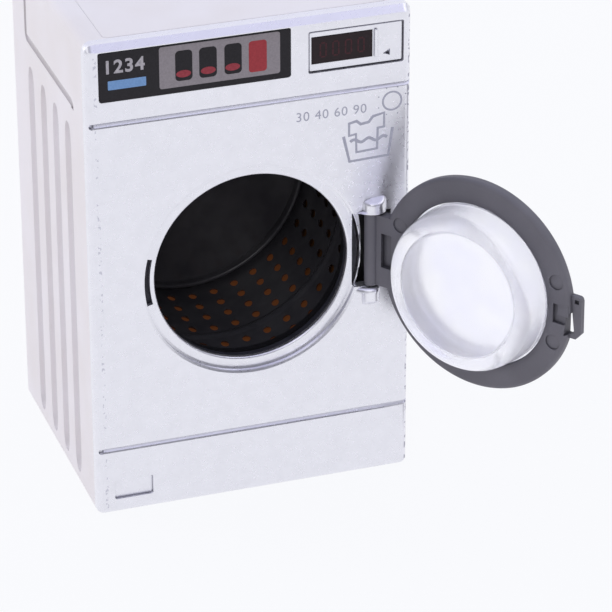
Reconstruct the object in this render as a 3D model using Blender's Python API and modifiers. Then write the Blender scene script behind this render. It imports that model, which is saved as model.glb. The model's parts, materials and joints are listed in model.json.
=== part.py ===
# Toy washing machine with a hinged door and a turning drum.
# Metres, +Z up. The origin is the middle of the cabinet's underside and the front faces -Y.
# The door is modelled shut about its hinge line and stands open at DOOR_REST_ANGLE.

import math

import bmesh
import bpy
from mathutils import Matrix

MM = 0.001

# Fits that every piece shares
SEAT_GAP = 0.3 * MM
CUT_OVERRUN = 1.0 * MM
JOIN_OVERLAP = 0.4 * MM
MERGE_DISTANCE = 0.005 * MM

# Roundness of turned pieces and of corners
LARGE_STEPS = 48
SMALL_STEPS = 20
SCREW_STEPS = 12
CORNER_STEPS = 4
CORNER_ANGLES = (0.0, math.pi / 2, math.pi, math.pi * 3 / 2)
SHARP_ANGLE = math.radians(35)
FLAT_ANGLE = math.radians(0.5)

# Cabinet
CABINET_WIDTH = 60.0 * MM
CABINET_DEPTH = 50.0 * MM
CABINET_HEIGHT = 93.4 * MM
CABINET_WALL = 2.0 * MM
TOP_EDGE_RADIUS = 1.9 * MM
BOTTOM_EDGE_RADIUS = 1.3 * MM
FRONT_Y = -CABINET_DEPTH / 2
BACK_Y = CABINET_DEPTH / 2
SIDE_X = CABINET_WIDTH / 2
INNER_X = SIDE_X - CABINET_WALL

# Flutes and band line on both sides of the cabinet
FLUTE_COUNT = 4
FLUTE_PITCH = 8.4 * MM
FLUTE_WIDTH = 3.0 * MM
FLUTE_DEPTH = 0.6 * MM
FLUTE_FOOT = 2.8 * MM
FLUTE_DROP = 19.7 * MM
FLUTE_END_LENGTH = 1.6 * MM
FLUTE_STEPS = 16
BAND_LINE_DROP = 14.5 * MM
BAND_LINE_WIDTH = 0.5 * MM
BAND_LINE_DEPTH = 0.25 * MM
BAND_LINE_LENGTH = 30.4 * MM

# Lid plate
LID_SIDE_MARGIN = 4.1 * MM
LID_FRONT_MARGIN = 1.9 * MM
LID_BACK_MARGIN = 2.6 * MM
LID_THICKNESS = 1.0 * MM
LID_CORNER_RADIUS = 1.0 * MM

# Front panel
PANEL_THICKNESS = 2.0 * MM
PANEL_EDGE_RADIUS = 1.2 * MM
PANEL_EDGE_STEPS = 3
PANEL_BACK_Y = FRONT_Y + PANEL_THICKNESS
LIP_HEIGHT = 1.6 * MM
LIP_REACH = 1.2 * MM
LIP_END_INSET = 0.6 * MM
LIP_ROUNDING = 0.75 * MM
UPPER_GROOVE_DROP = 14.6 * MM
UPPER_GROOVE_HEIGHT = 1.5 * MM
LOWER_GROOVE_FOOT = 12.7 * MM
LOWER_GROOVE_HEIGHT = 1.0 * MM
GROOVE_DEPTH = 0.5 * MM
GROOVE_INSET = 0.7 * MM

# Door opening, its recess and the latch slot
DOOR_CENTRE_X = 0.25 * MM
DOOR_CENTRE_Z = 45.5 * MM
HINGE_SIDE_MARGIN = 7.2 * MM
HINGE_REACH = 2.3 * MM
HINGE_X = SIDE_X - HINGE_SIDE_MARGIN
DOOR_RADIUS = HINGE_X - HINGE_REACH - DOOR_CENTRE_X
DOOR_OVERLAP = 2.1 * MM
OPENING_RADIUS = DOOR_RADIUS - DOOR_OVERLAP
OPENING_CHAMFER = 0.45 * MM
RECESS_CLEARANCE = 0.2 * MM
RECESS_RADIUS = DOOR_RADIUS + RECESS_CLEARANCE
RECESS_DEPTH = 1.15 * MM
LATCH_SLOT_WIDTH = 1.1 * MM
LATCH_SLOT_HEIGHT = 9.4 * MM
LATCH_SLOT_STEPS = 6

# Ring rib behind the recess, which holds the gasket
COLLAR_STANDOFF = 0.3 * MM
COLLAR_WALL = 0.35 * MM
COLLAR_DEPTH = 2.0 * MM
COLLAR_INNER_RADIUS = RECESS_RADIUS + COLLAR_STANDOFF
GASKET_DEPTH = 2.0 * MM
GASKET_RELIEF = 0.15 * MM
GASKET_INNER_RADIUS = OPENING_RADIUS + GASKET_RELIEF

# Labels, their keys are print
LABEL_LEFT = 2.5 * MM
LABEL_RIGHT_MARGIN = 22.6 * MM
LABEL_WIDTH = CABINET_WIDTH - LABEL_LEFT - LABEL_RIGHT_MARGIN
LABEL_DROP = 1.9 * MM
LABEL_HEIGHT = 9.2 * MM
LABEL_CORNER_RADIUS = 1.0 * MM
LABEL_THICKNESS = 0.25 * MM
LABEL_PROUD = 0.05 * MM
DISPLAY_FRAME_WIDTH = 17.8 * MM
DISPLAY_FRAME_RIGHT_MARGIN = 1.5 * MM
DISPLAY_FRAME_LEFT = CABINET_WIDTH - DISPLAY_FRAME_RIGHT_MARGIN - DISPLAY_FRAME_WIDTH
DISPLAY_FRAME_DROP = 3.1 * MM
DISPLAY_FRAME_HEIGHT = 8.0 * MM
DISPLAY_FRAME_DEPTH = 0.45 * MM
DISPLAY_INSET_LEFT = 0.8 * MM
DISPLAY_WIDTH = 11.2 * MM
DISPLAY_INSET_TOP = 1.4 * MM
DISPLAY_HEIGHT = 5.0 * MM

# Filter door outline at the bottom left
FILTER_LEFT = 3.3 * MM
FILTER_WIDTH = 7.3 * MM
FILTER_FOOT = 2.9 * MM
FILTER_HEIGHT = 3.9 * MM
FILTER_DEPTH = 0.6 * MM
FILTER_CORNER_RADIUS = 0.4 * MM

# Hinge: two lugs on the panel, a barrel on the door, and a steel pin
HINGE_SETBACK = 0.35 * MM
HINGE_Y = FRONT_Y + HINGE_SETBACK
BARREL_RADIUS = 1.35 * MM
BARREL_FOOT_SHARE = -0.32
BARREL_FOOT = DOOR_RADIUS * BARREL_FOOT_SHARE
BARREL_LENGTH = 14.3 * MM
BARREL_END_GAP = 0.35 * MM
HINGE_WINDOW_LEFT = 3.55 * MM
HINGE_WINDOW_RIGHT = 3.45 * MM
HINGE_WINDOW_GAP = 0.3 * MM
LUG_HEIGHT = 2.9 * MM
LUG_LEFT = 3.3 * MM
LUG_RIGHT = 2.9 * MM
LUG_REACH = 1.75 * MM
LUG_ROUNDING = 0.5 * MM
PIN_RADIUS = 0.5 * MM
PIN_ENGAGEMENT = 1.6 * MM
PIN_BORE_RADIUS = PIN_RADIUS + SEAT_GAP

# Door
DOOR_REST_ANGLE = math.radians(124.8)
DOOR_THICKNESS = 2.4 * MM
DOOR_SET_IN = 0.37 * MM
DOOR_RIM_WIDTH = 4.61 * MM
DOOR_EDGE_ROUNDING = 0.8 * MM
DOOR_EDGE_STEPS = 3
DOOR_LEDGE = 1.1 * MM
DOOR_COUNTERBORE = 1.16 * MM
DOOR_HOLE_RADIUS = DOOR_RADIUS - DOOR_RIM_WIDTH
DOOR_CENTRE_FROM_HINGE = -(HINGE_X - DOOR_CENTRE_X)
ARM_SEAT_MARGIN = 0.5 * MM
ARM_ROOT = DOOR_RIM_WIDTH - DOOR_COUNTERBORE - ARM_SEAT_MARGIN
ARM_THICKNESS = 2.0 * MM
ARM_END_GAP = 0.1 * MM
ARM_POCKET_LEFT = 4.6 * MM
ARM_POCKET_WIDTH = 2.2 * MM
ARM_POCKET_FOOT = -2.5 * MM
ARM_POCKET_HEIGHT = 6.8 * MM
POCKET_DEPTH = 0.7 * MM
CATCH_POCKET_INSET = 0.35 * MM
CATCH_POCKET_WIDTH = 3.0 * MM
CATCH_POCKET_FOOT = -2.2 * MM
CATCH_POCKET_HEIGHT = 3.7 * MM
TAB_REACH = 3.15 * MM
TAB_ROOT = 1.6 * MM
TAB_HEIGHT = 9.8 * MM
TAB_THICKNESS = 1.05 * MM
TAB_SLOT_REACH = 1.2 * MM
TAB_SLOT_WIDTH = 0.6 * MM
TAB_SLOT_FOOT = 1.0 * MM
TAB_SLOT_HEIGHT = 4.7 * MM

# Clear window cup
CUP_RADIUS = DOOR_HOLE_RADIUS - SEAT_GAP
CUP_DRAFT = 0.35 * MM
CUP_DEPTH = 6.2 * MM
CUP_CORNER_RADIUS = 2.8 * MM
CUP_CORNER_STEPS = 4
CUP_WALL = 3.2 * MM
CUP_END_WALL = 1.1 * MM
CUP_FLANGE_THICKNESS = 0.7 * MM

# Tub, drum and what lies between them, front to back
TUB_SIDE_GAP = 1.15 * MM
TUB_WALL = 1.0 * MM
TUB_FLANGE = 1.2 * MM
TUB_MOUTH_STEP = 0.3 * MM
TUB_OUTER_RADIUS = INNER_X - abs(DOOR_CENTRE_X) - TUB_SIDE_GAP
TUB_INNER_RADIUS = TUB_OUTER_RADIUS - TUB_WALL
TUB_FRONT_Y = PANEL_BACK_Y + SEAT_GAP + GASKET_DEPTH + SEAT_GAP
DRUM_RUNNING_GAP = 0.5 * MM
DRUM_WALL = 0.8 * MM
DRUM_END_GAP = 0.6 * MM
DRUM_OUTER_RADIUS = TUB_INNER_RADIUS - DRUM_RUNNING_GAP
DRUM_INNER_RADIUS = DRUM_OUTER_RADIUS - DRUM_WALL
EAR_RADIUS = 2.3 * MM
EAR_STANDOFF = 3.6 * MM
EAR_COUNT = 4

# Rear cover and its screws
COVER_THICKNESS = 2.0 * MM
COVER_INSET = 0.4 * MM
COVER_OUTER_Y = BACK_Y - COVER_INSET
COVER_INNER_Y = COVER_OUTER_Y - COVER_THICKNESS
COVER_CORNER_RADIUS = 0.8 * MM
POST_SIZE = 6.4 * MM
POST_LENGTH = 7.0 * MM
COUNTERBORE_DEPTH = 1.2 * MM
SCREW_HEAD_RADIUS = 1.8 * MM
SCREW_HEAD_HEIGHT = 0.9 * MM
SCREW_RADIUS = 0.8 * MM
COVER_SCREW_LENGTH = 6.0 * MM
TUB_SCREW_LENGTH = 3.2 * MM
SCREW_CROSS_WIDTH = 0.45 * MM
SCREW_CROSS_LENGTH = 2.0 * MM
SCREW_CROSS_DEPTH = 0.45 * MM
SCREW_HOLE_RADIUS = SCREW_RADIUS + SEAT_GAP

# Axle, bush and retainer, worked out forwards from the rear cover
REAR_SPACE = 1.4 * MM
TUB_BACK_Y = COVER_INNER_Y - REAR_SPACE
TUB_FLOOR_Y = TUB_BACK_Y - TUB_WALL
AXLE_RADIUS = 1.2 * MM
AXLE_HEAD_RADIUS = 2.2 * MM
AXLE_HEAD_HEIGHT = 0.9 * MM
AXLE_END_SPACE = 0.4 * MM
BUSH_WALL = 0.8 * MM
BUSH_FLANGE_RADIUS = 3.6 * MM
BUSH_FLANGE_THICKNESS = 0.4 * MM
BUSH_PROUD = 0.1 * MM
RETAINER_RADIUS = 2.6 * MM
RETAINER_THICKNESS = 0.4 * MM
AXLE_BORE_RADIUS = AXLE_RADIUS + SEAT_GAP
BUSH_RADIUS = AXLE_BORE_RADIUS + BUSH_WALL
BUSH_BORE_RADIUS = BUSH_RADIUS + SEAT_GAP
BUSH_FRONT_Y = TUB_FLOOR_Y - SEAT_GAP - BUSH_FLANGE_THICKNESS

# Drum, worked out forwards from the bush
DRUM_BACK_THICKNESS = 0.9 * MM
DRUM_BACK_Y = BUSH_FRONT_Y - SEAT_GAP
DRUM_FLOOR_Y = DRUM_BACK_Y - DRUM_BACK_THICKNESS
DRUM_REAR_Y = DRUM_FLOOR_Y - SEAT_GAP
DRUM_FRONT_Y = TUB_FRONT_Y + TUB_FLANGE + DRUM_END_GAP
RIDGE_WALL = 0.6 * MM
RIDGE_HEIGHT = 1.2 * MM
HOLE_RADIUS = 0.65 * MM
HOLE_SIDES = 4
HOLE_COLUMNS = 36
HOLE_PHASE = math.radians(0.3)
HOLE_ROW_SHARES = (0.885, 0.762, 0.639, 0.514, 0.328, 0.216)


def clear_scene():
    for item in list(bpy.data.objects):
        bpy.data.objects.remove(item, do_unlink=True)


def new_collection(name):
    group = bpy.data.collections.new(name)
    bpy.context.scene.collection.children.link(group)
    return group


def new_material(name, colour, roughness, metallic=0.0, transmission=0.0):
    material = bpy.data.materials.new(name)
    material.use_nodes = True
    shader = material.node_tree.nodes["Principled BSDF"]
    shader.inputs["Base Color"].default_value = (*colour, 1.0)
    shader.inputs["Roughness"].default_value = roughness
    shader.inputs["Metallic"].default_value = metallic
    shader.inputs["Transmission Weight"].default_value = transmission
    return material


def white_abs():
    return new_material("white ABS", (0.88, 0.87, 0.89), 0.45)


def silver_plate():
    return new_material("silver plated ABS", (0.78, 0.78, 0.82), 0.3, metallic=0.8)


def grey_abs():
    return new_material("grey ABS", (0.16, 0.155, 0.18), 0.5)


def black_abs():
    return new_material("black ABS", (0.012, 0.012, 0.015), 0.35)


def amber_abs():
    return new_material("amber ABS", (0.25, 0.12, 0.04), 0.5)


def dark_rubber():
    return new_material("dark grey rubber", (0.035, 0.035, 0.045), 0.6)


def clear_styrene():
    return new_material("clear styrene", (0.93, 0.94, 0.97), 0.08, transmission=1.0)


def label_film():
    return new_material("printed label film", (0.03, 0.028, 0.032), 0.35)


def display_film():
    return new_material("printed display film", (0.035, 0.02, 0.025), 0.25)


def steel():
    return new_material("plated steel", (0.55, 0.52, 0.5), 0.3, metallic=1.0)


def link_mesh(name, mesh, group, material=None):
    item = bpy.data.objects.new(name, mesh)
    group.objects.link(item)
    if material is not None:
        mesh.materials.append(material)
    if group.name == CUTTER_GROUP:
        item.hide_render = True
        item.display_type = "WIRE"
    return item


def finish_bmesh(name, work):
    mesh = bpy.data.meshes.new(name)
    work.to_mesh(mesh)
    work.free()
    return mesh


def box(name, group, low, high, material=None):
    work = bmesh.new()
    bmesh.ops.create_cube(work, size=1.0)
    size = [top - bottom for bottom, top in zip(low, high)]
    centre = [(top + bottom) / 2 for bottom, top in zip(low, high)]
    bmesh.ops.scale(work, vec=size, verts=work.verts)
    bmesh.ops.translate(work, vec=centre, verts=work.verts)
    return link_mesh(name, finish_bmesh(name, work), group, material)


def disc_along_y(name, group, radius, centre_x, centre_z, y_start, y_end, steps, end_radius=None):
    # A cylinder or cone frustum whose axis runs along Y; end_radius is the radius at y_end
    work = bmesh.new()
    bmesh.ops.create_cone(
        work,
        cap_ends=True,
        segments=steps,
        radius1=radius,
        radius2=radius if end_radius is None else end_radius,
        depth=y_end - y_start,
    )
    turn = Matrix.Rotation(-math.pi / 2, 4, "X")
    place = Matrix.Translation((centre_x, (y_start + y_end) / 2, centre_z))
    bmesh.ops.transform(work, matrix=place @ turn, verts=work.verts)
    return link_mesh(name, finish_bmesh(name, work), group)


def disc_along_z(name, group, radius, centre_x, centre_y, z_start, z_end, steps, material=None):
    work = bmesh.new()
    bmesh.ops.create_cone(
        work,
        cap_ends=True,
        segments=steps,
        radius1=radius,
        radius2=radius,
        depth=z_end - z_start,
    )
    bmesh.ops.translate(work, vec=(centre_x, centre_y, (z_start + z_end) / 2), verts=work.verts)
    return link_mesh(name, finish_bmesh(name, work), group, material)


def turned(name, group, profile, steps, material=None, start_angle=0.0):
    # profile holds (radius, distance along the axis) and runs down the outer side.
    # The axis ends up along Y, with the distance counted towards the back.
    work = bmesh.new()
    points = [
        work.verts.new((radius * math.cos(start_angle), radius * math.sin(start_angle), along))
        for radius, along in profile
    ]
    for first, second in zip(points, points[1:]):
        work.edges.new((first, second))
    if profile[0][0] > 0.0:
        work.edges.new((points[-1], points[0]))
    item = link_mesh(name, finish_bmesh(name, work), group, material)
    screw = item.modifiers.new("Screw", "SCREW")
    screw.steps = steps
    screw.render_steps = steps
    screw.use_merge_vertices = True
    screw.merge_threshold = MERGE_DISTANCE
    screw.use_smooth_shade = True
    item.rotation_euler = (-math.pi / 2, 0.0, 0.0)
    return item


def arc(centre, radius, start, end, steps):
    # Points of an arc in a profile or outline, from one angle to another
    return [
        (
            centre[0] + radius * math.cos(start + (end - start) * step / steps),
            centre[1] + radius * math.sin(start + (end - start) * step / steps),
        )
        for step in range(steps + 1)
    ]


def rounded_outline(left, right, foot, top, foot_radius, top_radius):
    corners = (
        (right - top_radius, top - top_radius, top_radius),
        (left + top_radius, top - top_radius, top_radius),
        (left + foot_radius, foot + foot_radius, foot_radius),
        (right - foot_radius, foot + foot_radius, foot_radius),
    )
    points = []
    for (across, up, radius), angle in zip(corners, CORNER_ANGLES):
        points += arc((across, up), radius, angle, angle + math.pi / 2, CORNER_STEPS)
    return points


def outline_plate(name, group, outlines, y_start, y_end, material=None):
    # A plate whose outline lies in the XZ plane; later outlines are holes in the first
    curve = bpy.data.curves.new(name, "CURVE")
    curve.dimensions = "2D"
    curve.fill_mode = "BOTH"
    curve.extrude = (y_end - y_start) / 2
    for outline in outlines:
        spline = curve.splines.new("POLY")
        spline.points.add(len(outline) - 1)
        for point, (across, up) in zip(spline.points, outline):
            point.co = (across, up, 0.0, 1.0)
        spline.use_cyclic_u = True
    guide = bpy.data.objects.new(name + "_outline", curve)
    group.objects.link(guide)
    guide.rotation_euler = (math.pi / 2, 0.0, 0.0)
    guide.location = (0.0, (y_start + y_end) / 2, 0.0)
    bpy.context.view_layer.update()
    evaluated = guide.evaluated_get(bpy.context.evaluated_depsgraph_get())
    mesh = bpy.data.meshes.new_from_object(evaluated)
    mesh.transform(guide.matrix_world)
    bpy.data.objects.remove(guide, do_unlink=True)
    work = bmesh.new()
    work.from_mesh(mesh)
    bmesh.ops.remove_doubles(work, verts=work.verts, dist=MERGE_DISTANCE)
    bmesh.ops.recalc_face_normals(work, faces=work.faces)
    work.to_mesh(mesh)
    work.free()
    mesh.materials.clear()
    return link_mesh(name, mesh, group, material)


def flat_plate(name, group, outline, z_start, z_end, material=None):
    # A plate whose outline lies in the XY plane
    item = outline_plate(name, group, [outline], z_start, z_end, material)
    turn = Matrix.Rotation(math.pi / 2, 4, "X")
    flip = Matrix.Scale(-1.0, 4, (0.0, 1.0, 0.0))
    item.data.transform(flip @ turn)
    return upright(item)


def upright(item):
    work = bmesh.new()
    work.from_mesh(item.data)
    bmesh.ops.recalc_face_normals(work, faces=work.faces)
    work.to_mesh(item.data)
    work.free()
    return item


def round_edges(item, chosen, width, steps):
    # Rounds the edges of a plain mesh for which chosen(start, end) is true
    work = bmesh.new()
    work.from_mesh(item.data)
    bmesh.ops.dissolve_limit(
        work,
        angle_limit=FLAT_ANGLE,
        verts=work.verts,
        edges=work.edges,
    )
    edges = [edge for edge in work.edges if chosen(edge.verts[0].co, edge.verts[1].co)]
    bmesh.ops.bevel(
        work,
        geom=edges,
        offset=width,
        offset_type="OFFSET",
        segments=steps,
        profile=0.5,
        affect="EDGES",
        clamp_overlap=True,
        material=-1,
    )
    work.to_mesh(item.data)
    work.free()
    return item


def combine(target, other, operation):
    modifier = target.modifiers.new(other.name, "BOOLEAN")
    modifier.object = other
    modifier.operation = operation
    modifier.solver = "EXACT"
    return target


def cut(target, *cutters):
    for cutter in cutters:
        combine(target, cutter, "DIFFERENCE")
    return target


def join(target, *additions):
    for addition in additions:
        combine(target, addition, "UNION")
    return target


def smooth(item):
    item.data.shade_smooth()
    item.data.set_sharp_from_angle(angle=SHARP_ANGLE)
    return item


def near(value, goal):
    return abs(value - goal) < MERGE_DISTANCE


def flute_cutter(side, row, centre_y):
    # A slim spindle that stands upright and bites into the side by the flute depth
    radius = (FLUTE_WIDTH**2 / 4 + FLUTE_DEPTH**2) / (2 * FLUTE_DEPTH)
    foot = FLUTE_FOOT
    top = CABINET_HEIGHT - FLUTE_DROP
    shoulder = radius - FLUTE_DEPTH
    profile = [
        (0.0, top + FLUTE_END_LENGTH),
        (shoulder, top),
        (radius, top - FLUTE_END_LENGTH),
        (radius, foot + FLUTE_END_LENGTH),
        (shoulder, foot),
        (0.0, foot - FLUTE_END_LENGTH),
    ]
    item = turned("flute_%s_%d" % (side, row), cutters, profile, FLUTE_STEPS)
    outwards = -1.0 if side == "left" else 1.0
    item.rotation_euler = (0.0, 0.0, 0.0)
    item.location = (outwards * (SIDE_X + shoulder), centre_y, 0.0)
    return item


def band_line_cutter(side):
    outwards = -1.0 if side == "left" else 1.0
    outer = outwards * (SIDE_X + CUT_OVERRUN)
    inner = outwards * (SIDE_X - BAND_LINE_DEPTH)
    line_z = CABINET_HEIGHT - BAND_LINE_DROP
    return box(
        "band_line_" + side,
        cutters,
        (min(outer, inner), -BAND_LINE_LENGTH / 2, line_z - BAND_LINE_WIDTH / 2),
        (max(outer, inner), BAND_LINE_LENGTH / 2, line_z + BAND_LINE_WIDTH / 2),
    )


def post_places():
    reach_x = INNER_X - POST_SIZE / 2
    low_z = CABINET_WALL + POST_SIZE / 2
    high_z = CABINET_HEIGHT - CABINET_WALL - POST_SIZE / 2
    return {
        "lower_left": (-reach_x, low_z),
        "lower_right": (reach_x, low_z),
        "upper_left": (-reach_x, high_z),
        "upper_right": (reach_x, high_z),
    }


def screw_posts(cabinet):
    # Square posts in the four rear corners, bored for the rear cover's screws
    rear = COVER_INNER_Y - SEAT_GAP
    front = rear - POST_LENGTH
    half = POST_SIZE / 2 + JOIN_OVERLAP
    for place, (centre_x, centre_z) in post_places().items():
        post = box(
            "post_" + place,
            cutters,
            (centre_x - half, front, centre_z - half),
            (centre_x + half, rear, centre_z + half),
        )
        join(cabinet, post)
    for place, (centre_x, centre_z) in post_places().items():
        bore = disc_along_y(
            "post_bore_" + place,
            cutters,
            SCREW_HOLE_RADIUS,
            centre_x,
            centre_z,
            rear - COVER_SCREW_LENGTH,
            rear + CUT_OVERRUN,
            SCREW_STEPS,
        )
        cut(cabinet, bore)


def lid_outline(margin):
    return rounded_outline(
        -SIDE_X + LID_SIDE_MARGIN - margin,
        SIDE_X - LID_SIDE_MARGIN + margin,
        FRONT_Y + LID_FRONT_MARGIN + PANEL_THICKNESS - margin,
        BACK_Y - LID_BACK_MARGIN + margin,
        LID_CORNER_RADIUS + margin,
        LID_CORNER_RADIUS + margin,
    )


def cabinet_shell():
    outer = rounded_outline(-SIDE_X, SIDE_X, 0.0, CABINET_HEIGHT, BOTTOM_EDGE_RADIUS, TOP_EDGE_RADIUS)
    inner = rounded_outline(
        -INNER_X,
        INNER_X,
        CABINET_WALL,
        CABINET_HEIGHT - CABINET_WALL,
        BOTTOM_EDGE_RADIUS / 2,
        TOP_EDGE_RADIUS / 2,
    )
    item = outline_plate(
        "cabinet_shell",
        parts,
        [outer, inner],
        PANEL_BACK_Y + SEAT_GAP,
        BACK_Y,
        white_abs(),
    )
    screw_posts(item)
    first_y = -FLUTE_PITCH * (FLUTE_COUNT - 1) / 2
    for side in ("left", "right"):
        for row in range(FLUTE_COUNT):
            cut(item, flute_cutter(side, row, first_y + row * FLUTE_PITCH))
        cut(item, band_line_cutter(side))
    pocket = flat_plate(
        "lid_pocket",
        cutters,
        lid_outline(SEAT_GAP),
        CABINET_HEIGHT - LID_THICKNESS - SEAT_GAP,
        CABINET_HEIGHT + CUT_OVERRUN,
    )
    cut(item, pocket)
    return item


def top_cover():
    return flat_plate(
        "top_cover",
        parts,
        lid_outline(0.0),
        CABINET_HEIGHT - LID_THICKNESS,
        CABINET_HEIGHT,
        white_abs(),
    )


def panel_blank():
    outline = rounded_outline(-SIDE_X, SIDE_X, 0.0, CABINET_HEIGHT, BOTTOM_EDGE_RADIUS, TOP_EDGE_RADIUS)
    item = outline_plate("front_panel", parts, [outline], FRONT_Y, PANEL_BACK_Y, silver_plate())
    lip_foot = CABINET_HEIGHT - LIP_HEIGHT

    def is_front_rim(start, end):
        in_front = near(start.y, FRONT_Y) and near(end.y, FRONT_Y)
        return in_front and min(start.z, end.z) < lip_foot - TOP_EDGE_RADIUS

    return round_edges(item, is_front_rim, PANEL_EDGE_RADIUS, PANEL_EDGE_STEPS)


def top_lip():
    # Bullnose along the panel's top edge
    outline = rounded_outline(
        -SIDE_X + LIP_END_INSET,
        SIDE_X - LIP_END_INSET,
        CABINET_HEIGHT - LIP_HEIGHT,
        CABINET_HEIGHT,
        LIP_ROUNDING,
        LIP_ROUNDING,
    )
    item = outline_plate("top_lip", cutters, [outline], FRONT_Y - LIP_REACH, FRONT_Y + LIP_REACH)

    def is_front(start, end):
        return near(start.y, FRONT_Y - LIP_REACH) and near(end.y, FRONT_Y - LIP_REACH)

    return round_edges(item, is_front, LIP_ROUNDING, PANEL_EDGE_STEPS)


def cross_groove(name, foot, height):
    return box(
        name,
        cutters,
        (-SIDE_X + GROOVE_INSET, FRONT_Y - CUT_OVERRUN, foot),
        (SIDE_X - GROOVE_INSET, FRONT_Y + GROOVE_DEPTH, foot + height),
    )


def latch_slot():
    # A curved through slot in the recess floor, on the side away from the hinge
    outer = RECESS_RADIUS - COLLAR_WALL / 2
    inner = outer - LATCH_SLOT_WIDTH
    half_angle = math.asin(LATCH_SLOT_HEIGHT / 2 / outer)
    centre = (DOOR_CENTRE_X, DOOR_CENTRE_Z)
    points = arc(centre, outer, math.pi - half_angle, math.pi + half_angle, LATCH_SLOT_STEPS)
    points += arc(centre, inner, math.pi + half_angle, math.pi - half_angle, LATCH_SLOT_STEPS)
    return outline_plate(
        "latch_slot",
        cutters,
        [points],
        FRONT_Y + RECESS_DEPTH - CUT_OVERRUN,
        PANEL_BACK_Y + CUT_OVERRUN,
    )


def barrel_foot_z():
    return DOOR_CENTRE_Z + BARREL_FOOT


def hinge_window():
    foot = barrel_foot_z() - HINGE_WINDOW_GAP
    top = barrel_foot_z() + BARREL_LENGTH + HINGE_WINDOW_GAP
    return box(
        "hinge_window",
        cutters,
        (HINGE_X - HINGE_WINDOW_LEFT, FRONT_Y - CUT_OVERRUN, foot),
        (HINGE_X + HINGE_WINDOW_RIGHT, PANEL_BACK_Y + CUT_OVERRUN, top),
    )


def lug(name, foot):
    # An ear with a rounded nose that holds one end of the hinge pin
    nose = FRONT_Y - LUG_REACH
    outline = [
        (HINGE_X - LUG_LEFT, FRONT_Y + JOIN_OVERLAP),
        (HINGE_X - LUG_LEFT, FRONT_Y),
        (HINGE_X - BARREL_RADIUS, nose + LUG_ROUNDING),
        (HINGE_X, nose),
        (HINGE_X + BARREL_RADIUS, nose),
        (HINGE_X + LUG_RIGHT, FRONT_Y),
        (HINGE_X + LUG_RIGHT, FRONT_Y + JOIN_OVERLAP),
    ]
    return flat_plate(name, cutters, outline, foot, foot + LUG_HEIGHT)


def lug_feet():
    lower = barrel_foot_z() - BARREL_END_GAP - LUG_HEIGHT
    upper = barrel_foot_z() + BARREL_LENGTH + BARREL_END_GAP
    return lower, upper


def pin_ends():
    foot = barrel_foot_z() - BARREL_END_GAP - PIN_ENGAGEMENT
    top = barrel_foot_z() + BARREL_LENGTH + BARREL_END_GAP + PIN_ENGAGEMENT
    return foot, top


def pin_bores():
    foot, top = pin_ends()
    return disc_along_z(
        "pin_bores",
        cutters,
        PIN_BORE_RADIUS,
        HINGE_X,
        HINGE_Y,
        foot - SEAT_GAP,
        top + SEAT_GAP,
        SCREW_STEPS,
    )


def collar():
    front = PANEL_BACK_Y - JOIN_OVERLAP
    rear = PANEL_BACK_Y + COLLAR_DEPTH
    outer = COLLAR_INNER_RADIUS + COLLAR_WALL
    profile = [(outer, rear), (outer, front), (COLLAR_INNER_RADIUS, front), (COLLAR_INNER_RADIUS, rear)]
    item = turned("collar", cutters, profile, LARGE_STEPS)
    item.location = (DOOR_CENTRE_X, 0.0, DOOR_CENTRE_Z)
    return item


def ear_places():
    reach = TUB_OUTER_RADIUS + EAR_STANDOFF
    places = []
    for number in range(EAR_COUNT):
        angle = math.pi * (2 * number + 1) / EAR_COUNT
        centre_x = DOOR_CENTRE_X + reach * math.cos(angle)
        centre_z = DOOR_CENTRE_Z + reach * math.sin(angle)
        places.append((centre_x, centre_z, angle))
    return places


def recess_cutters():
    floor_y = FRONT_Y + RECESS_DEPTH
    centre = (DOOR_CENTRE_X, DOOR_CENTRE_Z)
    recess = disc_along_y(
        "door_recess", cutters, RECESS_RADIUS, *centre, FRONT_Y - CUT_OVERRUN, floor_y, LARGE_STEPS
    )
    mouth = disc_along_y(
        "door_mouth",
        cutters,
        OPENING_RADIUS,
        *centre,
        FRONT_Y,
        PANEL_BACK_Y + CUT_OVERRUN,
        LARGE_STEPS,
    )
    chamfer = disc_along_y(
        "mouth_chamfer",
        cutters,
        OPENING_RADIUS + 2 * OPENING_CHAMFER,
        *centre,
        floor_y - OPENING_CHAMFER,
        floor_y + OPENING_CHAMFER,
        LARGE_STEPS,
        end_radius=OPENING_RADIUS,
    )
    return recess, mouth, chamfer


def label_pockets():
    left = -SIDE_X + LABEL_LEFT
    top = CABINET_HEIGHT - LABEL_DROP
    outline = rounded_outline(
        left - SEAT_GAP,
        left + LABEL_WIDTH + SEAT_GAP,
        top - LABEL_HEIGHT - SEAT_GAP,
        top + SEAT_GAP,
        LABEL_CORNER_RADIUS,
        LABEL_CORNER_RADIUS,
    )
    depth = LABEL_THICKNESS - LABEL_PROUD + SEAT_GAP
    return outline_plate("label_pocket", cutters, [outline], FRONT_Y - CUT_OVERRUN, FRONT_Y + depth)


def display_frame_box():
    left = -SIDE_X + DISPLAY_FRAME_LEFT
    top = CABINET_HEIGHT - DISPLAY_FRAME_DROP
    outline = rounded_outline(
        left,
        left + DISPLAY_FRAME_WIDTH,
        top - DISPLAY_FRAME_HEIGHT,
        top,
        LABEL_CORNER_RADIUS,
        LABEL_CORNER_RADIUS,
    )
    return outline_plate(
        "display_frame", cutters, [outline], FRONT_Y - CUT_OVERRUN, FRONT_Y + DISPLAY_FRAME_DEPTH
    )


def display_outline(margin):
    left = -SIDE_X + DISPLAY_FRAME_LEFT + DISPLAY_INSET_LEFT
    top = CABINET_HEIGHT - DISPLAY_FRAME_DROP - DISPLAY_INSET_TOP
    return (
        left - margin,
        left + DISPLAY_WIDTH + margin,
        top - DISPLAY_HEIGHT - margin,
        top + margin,
    )


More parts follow.
